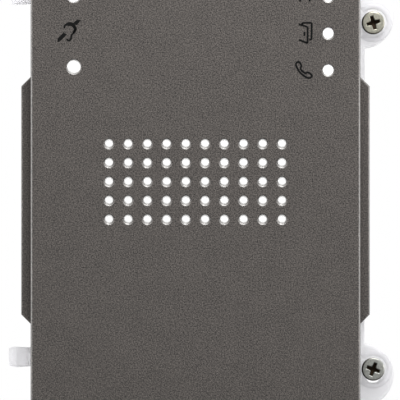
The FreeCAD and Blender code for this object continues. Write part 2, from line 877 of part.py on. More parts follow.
def raised_seats(body):
    """Raise the carrier's cups, posts, locating ring, clamp bosses and microphone collar."""
    cups = sketch_on(body, "XZ_Plane", wall_rear)
    for x, z in mirrored_corners(d.plate_screw_column, plate_screw_height):
        square(cups, x, z, d.plate_boss + 2 * (d.cup_gap + d.cup_wall))
    pad(body, cups, wall_rear - cup_level, forward=False)

    posts = sketch_on(body, "XZ_Plane", wall_rear)
    for x, z in mirrored_corners(post_column, post_height):
        square(posts, x, z, d.post_width)
    pad(body, posts, wall_rear - board_front, forward=False)

    seats = sketch_on(body, "XZ_Plane", wall_rear)
    polygon(seats, 0, d.grille_height, speaker_radius + d.speaker_gap + d.locating_wall, LARGE_SIDES)
    polygon(seats, 0, d.grille_height, speaker_radius + d.speaker_gap, LARGE_SIDES)
    pad(body, seats, wall_rear - flange_rear, forward=False)
    bosses = sketch_on(body, "XZ_Plane", wall_rear)
    for x, z in clamp_spots():
        polygon(bosses, x, z, d.clamp_boss / 2, SMALL_SIDES)
    pad(body, bosses, wall_rear - flange_rear, forward=False)
    collar = sketch_on(body, "XZ_Plane", wall_rear)
    collar_bore = d.boot_width / 2 + d.boot_gap
    polygon(collar, -sensor_column, microphone_height, collar_bore + d.collar_ring_wall, MIDDLE_SIDES)
    polygon(collar, -sensor_column, microphone_height, collar_bore, MIDDLE_SIDES)
    pad(body, collar, d.collar_ring_depth, forward=False)


def through_holes(body):
    """Cut the carrier's sound opening, light and microphone holes, cups and screw holes."""
    opening = sketch_on(body, "XZ_Plane", wall_rear)
    polygon(opening, 0, d.grille_height, speaker_opening, LARGE_SIDES)
    for height in light_heights():
        polygon(opening, light_column, height, d.light_hole / 2, MIDDLE_SIDES)
    for height in (sensor_height, microphone_height):
        polygon(opening, -sensor_column, height, d.sensor_hole / 2, MIDDLE_SIDES)
    pocket(body, opening, d.carrier_front_wall)

    boss_seat = face_inner - d.plate_boss_depth
    screw_spots = mirrored_corners(d.plate_screw_column, plate_screw_height)
    cups = sketch_on(body, "XZ_Plane", boss_seat)
    holes = sketch_on(body, "XZ_Plane", boss_seat)
    for x, z in screw_spots:
        square(cups, x, z, d.plate_boss + 2 * d.cup_gap)
        polygon(holes, x, z, passage, SMALL_SIDES)
    pocket(body, cups, nose_front - boss_seat)
    pocket(body, holes, d.cup_floor, forward=False)

    pilots = sketch_on(body, "XZ_Plane", board_front)
    for x, z in mirrored_corners(post_column, post_height):
        polygon(pilots, x, z, pilot, SMALL_SIDES)
    reach = d.housing_screw_length - (board_front - d.counterbore_depth)
    pocket(body, pilots, reach + d.thread / 4)
    clamp_pilots = sketch_on(body, "XZ_Plane", flange_rear)
    for x, z in clamp_spots():
        polygon(clamp_pilots, x, z, d.speaker_screw / 2 + d.thread_gap, SMALL_SIDES)
    pocket(body, clamp_pilots, d.speaker_screw_length - d.clamp_thickness + d.thread_gap * 4)


def seals():
    """Cut the flat seals: tray to nose, round the sound opening, and cover to carrier."""
    subpart("front_seal", frame_ring(nose_side, nose_end, nose_side - d.front_seal_width,
                                     nose_end - d.front_seal_width, nose_front, face_inner))
    mesh_seal = ring(speaker_opening, speaker_opening + d.mesh_seal_width, nose_front,
                     face_inner - d.membrane_thickness, 0, d.grille_height)
    subpart("membrane_seal", mesh_seal)
    rear = new_body()
    rim = sketch_on(rear, "XZ_Plane", cover_front)
    rectangle(rim, -cover_side, cover_side, -cover_end, cover_end)
    pad(rear, rim, d.rear_seal_thickness)
    dress(rear, "Fillet", d.cover_corner, along_depth)
    inside = sketch_on(rear, "XZ_Plane", cover_front)
    rectangle(inside, -cavity_side, cavity_side, -cavity_end, cavity_end)
    pocket(rear, inside, d.rear_seal_thickness)
    subpart("rear_seal", rear)
    speaker_seal = ring(speaker_opening, speaker_radius, flange_front, wall_rear, 0, d.grille_height)
    subpart("speaker_seal", speaker_seal)


def membranes():
    """Cut the white acoustic sheets that close the sound holes and the microphone hole."""
    back = face_inner - d.membrane_thickness
    half_width = d.grille_pitch * (d.grille_columns - 1) / 2 + d.grille_hole / 2 + d.membrane_margin
    half_height = d.grille_row_pitch * (d.grille_rows - 1) / 2 + d.grille_hole / 2 + d.membrane_margin
    body = new_body(0, d.grille_height)
    sheet_outline = sketch_on(body, "XZ_Plane", back)
    rectangle(sheet_outline, -half_width, half_width, -half_height, half_height)
    pad(body, sheet_outline, d.membrane_thickness)
    subpart("grille_membrane", body)
    subpart("microphone_membrane", rod(d.sensor_hole / 2 + d.membrane_margin, back, face_inner,
                                       -sensor_column, microphone_height))


def frame_screws():
    """Turn the two captive frame screws, and cut the washers that keep them in their ears by their necks."""
    neck = d.frame_screw_neck / 2
    tip = ear_front - d.frame_screw_length
    neck_level = seat_level - d.frame_screw_neck_gap
    head_front = ear_front + d.frame_screw_head_height
    washer_level = seat_level + d.washer_gap
    for name, (height, _) in FRAME_SCREWS.items():
        body = new_body(frame_screw_column, height)
        shank = sketch_on(body, "XZ_Plane", tip)
        circle(shank, 0, 0, d.frame_screw_shank / 2)
        pad(body, shank, neck_level - tip)
        waist = sketch_on(body, "XZ_Plane", neck_level)
        polygon(waist, 0, 0, neck, MIDDLE_SIDES)
        pad(body, waist, ear_front - neck_level)
        head = sketch_on(body, "XZ_Plane", ear_front)
        polygon(head, 0, 0, d.frame_screw_head / 2, LARGE_SIDES)
        pad(body, head, d.frame_screw_head_height)
        dress(body, "Chamfer", d.frame_screw_crown, lambda edge: on_level(edge, head_front))
        cross = sketch_on(body, "XZ_Plane", head_front)
        arm = d.cross_span / 2
        half = d.cross_width / 2
        outline(cross, [(half, arm), (-half, arm), (-half, half), (-arm, half), (-arm, -half), (-half, -half),
                        (-half, -arm), (half, -arm), (half, -half), (arm, -half), (arm, half), (half, half)])
        pocket(body, cross, d.cross_depth, forward=False)
        subpart(f"frame_screw_{name}", body)
        washer = ring(neck + d.washer_fit, d.washer_width / 2, washer_level,
                      washer_level + d.washer_thickness, frame_screw_column, height, MIDDLE_SIDES)
        subpart(f"retaining_washer_{name}", washer)


def speaker_metal():
    """Build the loudspeaker's steel basket, pole plates and magnet."""
    lower = d.basket_floor_radius
    skin = d.basket_metal
    z = d.grille_height
    outside = join([tapered([(lower, basket_floor), (speaker_opening, flange_rear)], z),
                    rod(speaker_radius, flange_rear, flange_front, 0, z, LARGE_SIDES)])
    inside = tapered([(lower - skin, basket_floor + skin), (speaker_opening - skin, flange_front)], z)
    floor_hole = rod(throat + d.coil_gap, basket_floor, basket_floor + skin, 0, z, LARGE_SIDES)
    vent_offset = (lower + speaker_opening) / 2 * round(math.sqrt(0.5), 9)
    vents = [rod((speaker_opening - lower) / 3, basket_floor, flange_front, x, z + rise, SMALL_SIDES)
             for x, rise in mirrored_corners(vent_offset, vent_offset)]
    lug_level = board_front + d.lug_rise
    slope = (speaker_opening - lower) / (flange_rear - basket_floor)
    wall = lower + (lug_level - basket_floor) * slope
    lug = block(-d.lug_width / 2, d.lug_width / 2, z - lug_reach, z - wall, lug_level, lug_level + skin)
    subpart("speaker_basket", join([carve(outside, join([inside, floor_hole] + vents)), lug]))

    subpart("speaker_top_plate", ring(throat, d.pole_plate_radius, magnet_front, basket_floor, 0, z))
    subpart("speaker_magnet", ring(d.magnet_bore, d.magnet_radius, magnet_rear, magnet_front, 0, z))
    back_plate = rod(d.pole_plate_radius, magnet_rear - d.pole_plate, magnet_rear, 0, z, LARGE_SIDES)
    pole = rod(d.pole_radius, magnet_rear, basket_floor, 0, z, LARGE_SIDES)
    subpart("speaker_yoke", join([back_plate, pole]))


def speaker_soft_parts():
    """Build the cone with its dust cap and coil, and the surround and damper that carry it."""
    paper = d.cone_paper
    neck = coil_outer
    z = d.grille_height
    cap_level = cone_neck_level + 4 * paper
    shell = tapered([(neck + paper, cone_neck_level), (neck + paper, cone_neck_level + 2 * paper),
                     (cone_radius, cone_level), (cone_radius, cone_level + paper)], z)
    hollow = tapered([(neck, cone_neck_level), (neck, cap_level), (cone_radius, cone_level + paper)], z)
    subpart("speaker_cone", carve(shell, hollow))

    cap_radius = neck - d.thread_gap
    domes = []
    for radius, rise in ((cap_radius, d.dust_cap_rise + paper), (cap_radius - paper, d.dust_cap_rise)):
        domes.append(tapered([(radius, cap_level), (radius * 0.75, cap_level + rise * 0.44),
                              (radius * 0.4, cap_level + rise * 0.84)], z))
    subpart("speaker_dust_cap", carve(*domes))

    coil = ring(coil_inner, coil_outer, basket_floor - d.coil_depth, cap_level, 0, z)
    subpart("speaker_voice_coil", coil)

    inside = cone_radius + d.surround_gap
    outside = inside + d.surround_width
    land = flange_front
    rolls = [tapered([(radius, land), (radius, land + paper), (radius + lean, land + 2 * paper)], z)
             for radius, lean in ((outside, -2 * paper), (inside, 2 * paper))]
    subpart("speaker_surround", carve(*rolls))

    damper_outer = d.basket_floor_radius - d.basket_metal
    damper_front = damper_level + d.damper_cloth
    cloth = ring(neck + paper + d.surround_gap, damper_outer, damper_level, damper_front, 0, z)
    skirt = ring(damper_outer - d.damper_cloth, damper_outer, basket_floor + d.basket_metal,
                 damper_front, 0, z)
    subpart("speaker_damper", join([cloth, skirt]))


def small_screw(x, z, seat, head_width, head_height, thread_width, length):
    """Make a screw that points forward, its head behind the level it seats on."""
    head = rod(head_width / 2, seat - head_height, seat, x, z, SMALL_SIDES)
    shank = rod(thread_width / 2, seat, seat + length, x, z, SMALL_SIDES)
    return join([head, shank])


def speaker_clamp():
    """Cut the ring that holds the loudspeaker in its seat, with three screwed tabs."""
    body = new_body(0, d.grille_height)
    back = flange_rear - d.clamp_thickness
    hoop = sketch_on(body, "XZ_Plane", back)
    polygon(hoop, 0, 0, speaker_radius + d.speaker_gap + d.locating_wall, LARGE_SIDES)
    polygon(hoop, 0, 0, speaker_opening + 2 * d.speaker_gap, LARGE_SIDES)
    pad(body, hoop, d.clamp_thickness)
    tab_sketch = sketch_on(body, "XZ_Plane", back)
    reach = d.clamp_boss / 2
    rectangle(tab_sketch, -reach, reach, speaker_radius, clamp_screw_circle + reach)
    tab = pad(body, tab_sketch, d.clamp_thickness)
    hole_sketch = sketch_on(body, "XZ_Plane", back)
    polygon(hole_sketch, 0, clamp_screw_circle, d.speaker_screw / 2 + d.thread_clearance, SMALL_SIDES)
    hole = pocket(body, hole_sketch, d.clamp_thickness)
    axes = {feature.Role: feature for feature in body.Origin.OriginFeatures}
    tabs = body.newObject("PartDesign::PolarPattern", "tabs")
    tabs.Originals = [tab, hole]
    tabs.Axis = (axes["Y_Axis"], [""])
    tabs.Angle = 360
    tabs.Occurrences = 3
    body.Tip = tabs
    subpart("speaker_clamp", body)


def screw_sets():
    """Make the small screws: housing, plate and speaker clamp."""
    housing = [small_screw(x, z, d.counterbore_depth, d.screw_head, d.screw_head_height, d.thread,
                           d.housing_screw_length) for x, z in mirrored_corners(post_column, post_height)]
    subpart("housing_screws", group(housing))
    plate = [small_screw(x, z, cup_level, d.screw_head, d.screw_head_height, d.thread,
                         d.plate_screw_length)
             for x, z in mirrored_corners(d.plate_screw_column, plate_screw_height)]
    subpart("plate_screws", group(plate))
    clamp = [small_screw(x, z, flange_rear - d.clamp_thickness, d.speaker_screw_head,
                         d.speaker_screw_head_height, d.speaker_screw, d.speaker_screw_length)
             for x, z in clamp_spots()]
    subpart("speaker_clamp_screws", group(clamp))


def circuit_board():
    """Cut the circuit board, open for the loudspeaker and drilled for the housing screws."""
    side = cover_inner_side - d.board_gap
    end = cover_inner_end - d.board_gap
    body = new_body()
    board = sketch_on(body, "XZ_Plane", d.board_level)
    rectangle(board, -side, side, -end, end)
    polygon(board, 0, d.grille_height, board_opening, LARGE_SIDES)
    for x, z in mirrored_corners(post_column, post_height):
        polygon(board, x, z, passage, SMALL_SIDES)
    pad(body, board, d.board_thickness)
    subpart("circuit_board", body)


def board_parts():
    """Place the parts that are soldered to the board and carry no moving piece."""
    lamps = [block_at(light_column, height, d.lamp_size, d.lamp_size, board_front,
                      board_front + d.lamp_height) for height in light_heights()]
    subpart("status_lamps", group(lamps))
    subpart("light_sensor", block_at(-sensor_column, sensor_height, d.lamp_size, d.lamp_size, board_front,
                                     board_front + d.lamp_height))
    cans = [rod(d.capacitor_width / 2, d.board_level - d.capacitor_length, d.board_level,
                -d.capacitor_column + d.capacitor_pitch * number, capacitor_height)
            for number in (-1, 0, 1)]
    subpart("capacitors", group(cans))
    subpart("line_transformer", block_at(-d.transformer_column, chip_row, d.transformer_width,
                                         d.transformer_height, d.board_level - d.transformer_depth,
                                         d.board_level))
    subpart("controller_chip", block_at(d.controller_column, chip_row, d.controller_width,
                                        d.controller_width, d.board_level - d.chip_thickness,
                                        d.board_level))
    subpart("amplifier_chip", block_at(d.amplifier_column, chip_row, d.amplifier_width,
                                       d.amplifier_height, d.board_level - d.chip_thickness, d.board_level))
    lug_z = d.grille_height - lug_reach + d.lug_contact / 2
    contacts = [block_at(d.lug_contact_pitch / 2 * side, lug_z, d.lug_contact, d.lug_contact, board_front,
                         board_front + d.lug_rise) for side in (-1, 1)]
    subpart("speaker_contacts", group(contacts))


def light_guides():
    """Mould the opal guide of the three status lights and the window of the light sensor."""
    back = board_front + d.lamp_height + d.lamp_gap
    tip = face_front - d.pipe_recess
    radius = d.light_hole / 2 - d.pipe_gap
    heights = light_heights()
    prongs = [rod(radius, back, tip, light_column, height) for height in heights]
    half_bar = d.pipe_bar_width / 2
    bar = block(light_column - half_bar, light_column + half_bar, heights[-1] - radius,
                heights[0] + radius, wall_rear - d.pipe_bar_thickness, wall_rear)
    subpart("status_light_guide", join(prongs + [bar]))
    flange_back = wall_rear - d.window_flange_thickness
    window = [rod(radius, start, end, -sensor_column, sensor_height)
              for radius, start, end in ((d.window_stub / 2, back, flange_back),
                                         (d.window_flange / 2, flange_back, wall_rear),
                                         (d.sensor_hole / 2 - d.pipe_gap, wall_rear, tip))]
    subpart("light_sensor_window", join(window))


def microphone():
    """Make the microphone: rubber boot, capsule and its two pins to the board."""
    back = wall_rear - d.boot_length
    capsule_back = back + d.boot_gap
    capsule_front = capsule_back + d.capsule_length
    bore = d.capsule_width / 2 + d.capsule_gap
    x = -sensor_column
    z = microphone_height
    channel = rod(d.boot_channel / 2, capsule_front, wall_rear, x, z)
    hollow = join([channel, rod(bore, back, capsule_front, x, z)])
    subpart("microphone_boot", carve(rod(d.boot_width / 2, back, wall_rear, x, z), hollow))
    subpart("microphone_capsule", rod(d.capsule_width / 2, capsule_back, capsule_front, x, z))
    pins = [block_at(x + d.pin_pitch / 2 * side, z, d.pin_width, d.pin_width, board_front, capsule_back)
            for side in (-1, 1)]
    subpart("microphone_pins", group(pins))


def rear_cover():
    """Mould the rear cover: a box with a lip, screw columns and a bay for the line terminals."""
    body = new_body()
    shell = sketch_on(body, "XZ_Plane", 0)
    rectangle(shell, -cover_side, cover_side, -cover_end, cover_end)
    pad(body, shell, cover_front)
    dress(body, "Fillet", d.cover_corner, along_depth)
    dress(body, "Chamfer", d.cover_edge, lambda edge: on_level(edge, 0))
    hollow = sketch_on(body, "XZ_Plane", d.cover_wall)
    rectangle(hollow, -cover_inner_side, cover_inner_side, -cover_inner_end, cover_inner_end)
    pocket(body, hollow, cover_front - d.cover_wall)

    bay_side = d.bay_width / 2
    block_side = bay_side + d.bay_wall
    housing = sketch_on(body, "XZ_Plane", d.cover_wall / 2)
    rectangle(housing, -block_side, block_side, -cover_end + d.cover_wall / 2, -bay_top + d.bay_wall)
    pad(body, housing, d.bay_depth + d.bay_wall - d.cover_wall / 2)
    columns = sketch_on(body, "XZ_Plane", d.cover_wall / 2)
    for x, z in mirrored_corners(post_column, post_height):
        square(columns, x, z, d.column_width)
    pad(body, columns, d.board_level - d.cover_wall / 2)
    lip = sketch_on(body, "XZ_Plane", cover_front)
    lip_side = cavity_side - d.lip_gap
    lip_end = cavity_end - d.lip_gap
    rectangle(lip, -lip_side, lip_side, -lip_end, lip_end)
    rectangle(lip, -cover_inner_side, cover_inner_side, -cover_inner_end, cover_inner_end)
    pad(body, lip, d.rear_seal_thickness + d.lip_height)

    bay = sketch_on(body, "XZ_Plane", 0)
    rectangle(bay, -bay_side, bay_side, -cover_end - d.cover_wall, -bay_top)
    pocket(body, bay, d.bay_depth)
    counterbores = sketch_on(body, "XZ_Plane", 0)
    holes = sketch_on(body, "XZ_Plane", d.counterbore_depth)
    for x, z in mirrored_corners(post_column, post_height):
        polygon(counterbores, x, z, d.counterbore / 2, MIDDLE_SIDES)
        polygon(holes, x, z, passage, SMALL_SIDES)
    pocket(body, counterbores, d.counterbore_depth)
    pocket(body, holes, d.board_level - d.counterbore_depth)

    windows = sketch_on(body, "XZ_Plane", d.bay_depth)
    header_side = header_width / 2 + d.cutout_gap
    header_end = header_thickness / 2 + d.cutout_gap
    rectangle(windows, -header_side, header_side, -terminal_height - header_end,
              -terminal_height + header_end)
    socket_side = d.line_socket_width / 2 + d.cutout_gap
    socket_end = d.line_socket_thickness / 2 + d.cutout_gap
    rectangle(windows, -d.line_socket_column - socket_side, -d.line_socket_column + socket_side,
              -control_height - socket_end, -control_height + socket_end)
    for column in (d.speaker_trimmer_column, d.microphone_trimmer_column):
        polygon(windows, column, -control_height, d.rotor_width / 2 + d.cutout_gap, MIDDLE_SIDES)
    polygon(windows, d.button_column, -control_height, d.button_cap / 2 + d.cutout_gap, MIDDLE_SIDES)
    pocket(body, windows, d.bay_wall)
    subpart("rear_cover", body)


# Terminal block widths, from the number of ways.
terminal_row = d.terminal_pitch * d.terminal_ways
nose_width = terminal_row - d.plug_side
header_width = nose_width + 2 * d.shroud_gap + 2 * d.shroud_wall
header_thickness = d.nose_thickness + 2 * d.shroud_gap + 2 * d.shroud_wall
header_rear = d.board_level - d.header_rise
plug_front = header_rear - d.plug_rest


def terminal_columns():
    """Give the x of each way of the terminal block, from left to right."""
    ways = int(float(d.terminal_ways))
    return [-terminal_row / 2 + d.terminal_pitch * (number + 0.5) for number in range(ways)]


def terminal_header():
    """Mould the board's shrouded header with its contact blades."""
    row = -terminal_height
    pocket_floor = d.board_level - d.header_floor
    shroud = block_at(0, row, header_width, header_thickness, header_rear, d.board_level)
    inside = block_at(0, row, nose_width + 2 * d.shroud_gap, d.nose_thickness + 2 * d.shroud_gap,
                      header_rear, pocket_floor)
    blades = [block_at(x, row, d.contact_width, d.contact_width, pocket_floor - d.contact_reach,
                       pocket_floor + d.contact_gap) for x in terminal_columns()]
    subpart("terminal_header", join([carve(shroud, inside)] + blades))


def terminal_plug():
    """Mould the plug that pulls off the header, with its wire entries, screw wells and contact holes."""
    row = -terminal_height
    tip = plug_front + d.nose_depth
    bottom = row - d.nose_thickness / 2 - d.plug_below
    top = row + d.nose_thickness / 2 + d.plug_above
    half = (terminal_row + d.plug_side) / 2
    head = block(-half, half, bottom, top, d.plug_inset, plug_front)
    nose = block_at(0, row, nose_width, d.nose_thickness, plug_front, tip)
    blade_tip = d.board_level - d.header_floor - d.contact_reach
    hole_width = d.contact_width + 2 * d.contact_gap
    entry_half = d.wire_entry / 2
    well_bottom = d.wire_entry_level + entry_half
    cuts = []
    for x in terminal_columns():
        cuts.append(block(x - entry_half, x + entry_half, bottom, bottom + d.wire_entry_depth,
                          d.wire_entry_level - entry_half, well_bottom))
        cuts.append(rod(d.clamp_screw / 2 + d.clamp_screw_gap, d.plug_inset, well_bottom, x,
                        bottom + d.clamp_screw_setback))
        cuts.append(block_at(x, row, hole_width, hole_width, blade_tip - d.contact_gap, tip))
    subpart("terminal_plug", carve(join([head, nose]), join(cuts)))


def slotted_screw(label, radius, back, front, x, z):
    """Make a headless screw or rotor with a straight slot in its back end."""
    blank = rod(radius, back, front, x, z)
    slot = block_at(x, z, 2 * radius, d.driver_slot_width, back, back + d.driver_slot_depth)
    subpart(label, carve(blank, slot))


def terminal_screws():
    """Make the four wire clamp screws, one above each wire entry of the plug."""
    back = d.plug_inset + d.clamp_screw_inset
    height = -terminal_height - d.nose_thickness / 2 - d.plug_below + d.clamp_screw_setback
    for number, x in enumerate(terminal_columns(), 1):
        slotted_screw(f"terminal_screw_{number}", d.clamp_screw / 2, back, back + d.clamp_screw_length, x,
                      height)


def line_socket():
    """Mould the pin socket where the line from the next module plugs in."""
    x = -d.line_socket_column
    z = -control_height
    back = d.board_level - d.line_socket_rise
    floor = back + d.line_socket_depth
    shroud = block_at(x, z, d.line_socket_width, d.line_socket_thickness, back, d.board_level)
    inside = block_at(x, z, d.line_socket_width - 2 * d.line_socket_wall,
                      d.line_socket_thickness - 2 * d.line_socket_wall, back, floor)
    pins = [block_at(x + d.pin_pitch * (column - 1.5), z + d.pin_pitch * (line - 0.5), d.line_pin, d.line_pin,
                     floor - d.line_pin_length, floor + d.line_pin)
            for column in range(4) for line in range(2)]
    subpart("line_socket", join([carve(shroud, inside)] + pins))


def trimmers():
    """Make the two volume trimmers, each a body on the board and a rotor that a screwdriver turns."""
    z = -control_height
    back = d.board_level - d.trimmer_height
    seat = back + d.rotor_seat
    for name, x in (("speaker", d.speaker_trimmer_column), ("microphone", d.microphone_trimmer_column)):
        base = block_at(x, z, d.trimmer_width, d.trimmer_width, back, d.board_level)
        bore = rod(d.rotor_width / 2 + d.rotor_gap, back, seat, x, z)
        subpart(f"{name}_trimmer_body", carve(base, bore))
        slotted_screw(f"{name}_trimmer_rotor", d.rotor_width / 2, d.bay_depth + d.rotor_inset,
                      seat - d.rotor_gap, x, z)


def setup_button():
    """Make the set-up push button: its body on the board and the cap that travels."""
    x = d.button_column
    z = -control_height
    back = d.board_level - d.button_height
    cap_front = back + d.button_height / 3
    base = block_at(x, z, d.button_width, d.button_width, back, d.board_level)
    bore = rod(d.button_cap / 2 + d.button_gap, back, cap_front + d.button_travel + d.button_gap, x, z)
    subpart("setup_button_body", carve(base, bore))
    subpart("setup_button_cap", rod(d.button_cap / 2, d.bay_depth + d.rotor_inset, cap_front, x, z))


def hearing_loop():
    """Wind the hearing aid loop: a flat coil round the loudspeaker, taped to the carrier's wall."""
    coil = ring(loop_inner, loop_inner + d.loop_width, wall_rear - d.loop_height, wall_rear, 0,
                d.grille_height)
    subpart("hearing_loop_coil", coil)


subparts = []
front_plate()
carrier()
seals()
membranes()
frame_screws()
speaker_metal()
speaker_soft_parts()
speaker_clamp()
screw_sets()
circuit_board()
board_parts()
light_guides()
microphone()
hearing_loop()
rear_cover()
terminal_header()
terminal_plug()
terminal_screws()
line_socket()
trimmers()
setup_button()
doc.recompute()

broken = [item.Label for item in doc.Objects if {"Invalid", "Error"} & set(item.State)]
broken += [item.Label for item in subparts if item.Shape.isNull() or not item.Shape.isValid()]
if broken:
    raise RuntimeError("failed: " + ", ".join(broken))
os.makedirs("parts", exist_ok=True)
for item in subparts:
    item.Shape.exportStep(f"parts/{item.Label}.step")
print(len(subparts), "sub-parts written")
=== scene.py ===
"""Looks of the door intercom speech module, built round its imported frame.

Places and sizes are in millimetres in the row's frame, and each mesh is written in metres. A depth is
a level: the distance forward of the rear cover's flat back, so a point's Y is minus its level.
"""
import json
import math

import bmesh
import bpy
import numpy as np
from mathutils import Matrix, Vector
from mathutils.geometry import delaunay_2d_cdt


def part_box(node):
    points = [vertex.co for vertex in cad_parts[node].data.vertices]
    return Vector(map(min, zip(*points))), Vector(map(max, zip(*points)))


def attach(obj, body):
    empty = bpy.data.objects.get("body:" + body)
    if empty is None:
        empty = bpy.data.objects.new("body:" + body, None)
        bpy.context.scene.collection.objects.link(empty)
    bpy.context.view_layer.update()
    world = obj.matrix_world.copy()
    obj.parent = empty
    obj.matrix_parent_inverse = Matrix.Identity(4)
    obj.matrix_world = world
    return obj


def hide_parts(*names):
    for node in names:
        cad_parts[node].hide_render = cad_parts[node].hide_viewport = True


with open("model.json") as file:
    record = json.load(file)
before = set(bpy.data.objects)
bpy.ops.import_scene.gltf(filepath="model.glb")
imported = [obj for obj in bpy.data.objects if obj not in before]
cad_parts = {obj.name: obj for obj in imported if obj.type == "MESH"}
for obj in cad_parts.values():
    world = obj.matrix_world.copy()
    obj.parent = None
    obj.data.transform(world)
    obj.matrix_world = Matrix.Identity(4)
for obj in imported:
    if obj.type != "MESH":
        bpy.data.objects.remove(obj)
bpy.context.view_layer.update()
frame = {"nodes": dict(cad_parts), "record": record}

MM = 0.001
QUARTER_TURN = math.pi / 2
FULL_TURN = 2 * math.pi

# Points of a mesh that lie nearer than this, in metres, are joined.
WELD = 1e-6

# Radius of the smallest ring of points about an axis, and bevel round the far end of a turned part.
POLE = 0.02
TIP_BEVEL = 0.2

# Photograph: its frame, its scale and the pixel that lies over the row's origin.
PHOTO_PIXELS = 400
PIXELS_PER_MM = 3.837
ORIGIN_PIXEL = (195.5, 200.4)


def extent(node):
    """Give a node's box in millimetres: left, right, rear level, front level, bottom, top."""
    low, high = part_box(node)
    return low.x / MM, high.x / MM, -high.y / MM, -low.y / MM, low.z / MM, high.z / MM


def middle(node):
    """Give the x and z of a node's centre in millimetres."""
    left, right, _, _, bottom, top = extent(node)
    return (left + right) / 2, (bottom + top) / 2


def photo_point(px, py):
    """Turn a place in the photograph into x and z on the face, in millimetres."""
    return (px - ORIGIN_PIXEL[0]) / PIXELS_PER_MM, (ORIGIN_PIXEL[1] - py) / PIXELS_PER_MM


def ring_quads(rows, columns):
    """Give the quads between rings of points that follow one another. Each ring is closed."""
    row, column = np.meshgrid(np.arange(rows - 1), np.arange(columns), indexing="ij")
    beside = (column + 1) % columns
    corners = [row * columns + column, row * columns + beside, (row + 1) * columns + beside,
               (row + 1) * columns + column]
    return np.stack(corners, -1).reshape(-1, 4)


class Shell:
    """The surfaces of one piece, gathered as whole arrays of points (x, level, z) and faces."""

    def __init__(self):
        self.points = []
        self.faces = []
        self.smooth = []
        self.total = 0

    def add(self, points, faces, smooth=True):
        """Add a surface: its points and its faces, all with the same number of corners."""
        points = np.asarray(points, float).reshape(-1, 3)
        faces = np.asarray(faces, int)
        self.points.append(points)
        self.faces.append(faces + self.total)
        self.smooth.append(np.full(len(faces), smooth))
        self.total += len(points)

    def grid(self, points, smooth=True):
        """Add a surface through rows of points. Each row is a closed ring."""
        self.add(points, ring_quads(*points.shape[:2]), smooth)

    def fan(self, ring, centre, smooth=False):
        """Close a ring of points with triangles to a centre."""
        index = np.arange(len(ring))
        faces = np.stack([index, (index + 1) % len(ring), np.full(len(ring), len(ring))], 1)
        self.add(np.concatenate([ring, [centre]]), faces, smooth)

    def finish(self, name, material, body="root", stands_for=()):
        """Write the piece as a closed mesh with its faces outwards, and let it ride on its body."""
        points = np.concatenate(self.points) * MM * (1.0, -1.0, 1.0)
        sizes = np.concatenate([np.full(len(faces), faces.shape[1]) for faces in self.faces])
        corners = np.concatenate([faces.ravel() for faces in self.faces])
        mesh = bpy.data.meshes.new(name)
        mesh.vertices.add(len(points))
        mesh.vertices.foreach_set("co", points.ravel())
        mesh.loops.add(len(corners))
        mesh.loops.foreach_set("vertex_index", corners)
        mesh.polygons.add(len(sizes))
        mesh.polygons.foreach_set("loop_start", np.cumsum(sizes) - sizes)
        mesh.polygons.foreach_set("use_smooth", np.concatenate(self.smooth))
        mesh.update(calc_edges=True)
        work = bmesh.new()
        work.from_mesh(mesh)
        bmesh.ops.remove_doubles(work, verts=work.verts, dist=WELD)
        bmesh.ops.recalc_face_normals(work, faces=work.faces)
        work.to_mesh(mesh)
        work.free()
        mesh.materials.append(material)
        piece = bpy.data.objects.new(name, mesh)
        bpy.context.scene.collection.objects.link(piece)
        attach(piece, body)
        if stands_for:
            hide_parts(*stands_for)
        return piece


def points_of(piece):
    """Give a piece's points as rows of x, level and z in millimetres."""
    values = np.empty(len(piece.data.vertices) * 3)
    piece.data.vertices.foreach_get("co", values)
    return values.reshape(-1, 3) / MM * (1, -1, 1)


def mark_points(piece, name, values):
    """Keep a value from 0 to 1 for each point of a piece, for its material to read."""
    marks = piece.data.attributes.new(name, "FLOAT", "POINT")
    marks.data.foreach_set("value", np.asarray(values, float))


def turns(sides):
    """Give the angles of the sides of a closed ring."""
    return np.linspace(0, FULL_TURN, sides, endpoint=False)


def arc(x, z, radius, start, end, steps):
    """Points on a circle about x and z, from one angle to another in degrees."""
    angles = np.radians(np.linspace(start, end, steps + 1))
    return np.stack([x + radius * np.cos(angles), z + radius * np.sin(angles)], 1)


def rounded_rectangle(half_width, half_height, radius, steps=8):
    """Outline of a rectangle with round corners, anticlockwise from its right side."""
    x = half_width - radius
    z = half_height - radius
    corners = [(x, -z, -90), (x, z, 0), (-x, z, 90), (-x, -z, 180)]
    return np.concatenate([arc(a, b, radius, turn, turn + 90, steps) for a, b, turn in corners])


def circle(x, z, radius, sides):
    """Outline of a circle, anticlockwise."""
    return arc(x, z, radius, 0, 360, sides)[:-1]


def mitres(outline):
    """Outward directions of an anticlockwise outline, long enough to keep its edges parallel when inset."""
    normals = []
    for edge in (outline - np.roll(outline, 1, 0), np.roll(outline, -1, 0) - outline):
        length = np.linalg.norm(edge, axis=1, keepdims=True)
        normals.append(np.stack([edge[:, 1], -edge[:, 0]], 1) / length)
    total = normals[0] + normals[1]
    return 2 * total / (total ** 2).sum(1, keepdims=True)


def carried(outline, profile):
    """Carry a profile along an outline: one row of points for each pair of inset and level.

    An inset or a level is a number, or an array with its own value for each point of the outline.
    """
    outward = mitres(outline)
    rows = []
    for inset, level in profile:
        spots = outline - np.reshape(inset, (-1, 1)) * outward
        rows.append(np.stack([spots[:, 0], np.full(len(spots), level), spots[:, 1]], 1))
    return np.stack(rows)


def round_over(radius, level, steps=6):
    """Quarter round from a flat at a level out and down to a wall, as pairs of inset and level."""
    return [(radius * (1 - math.sin(turn)), level - radius * (1 - math.cos(turn)))
            for turn in np.linspace(0, QUARTER_TURN, steps + 1)]


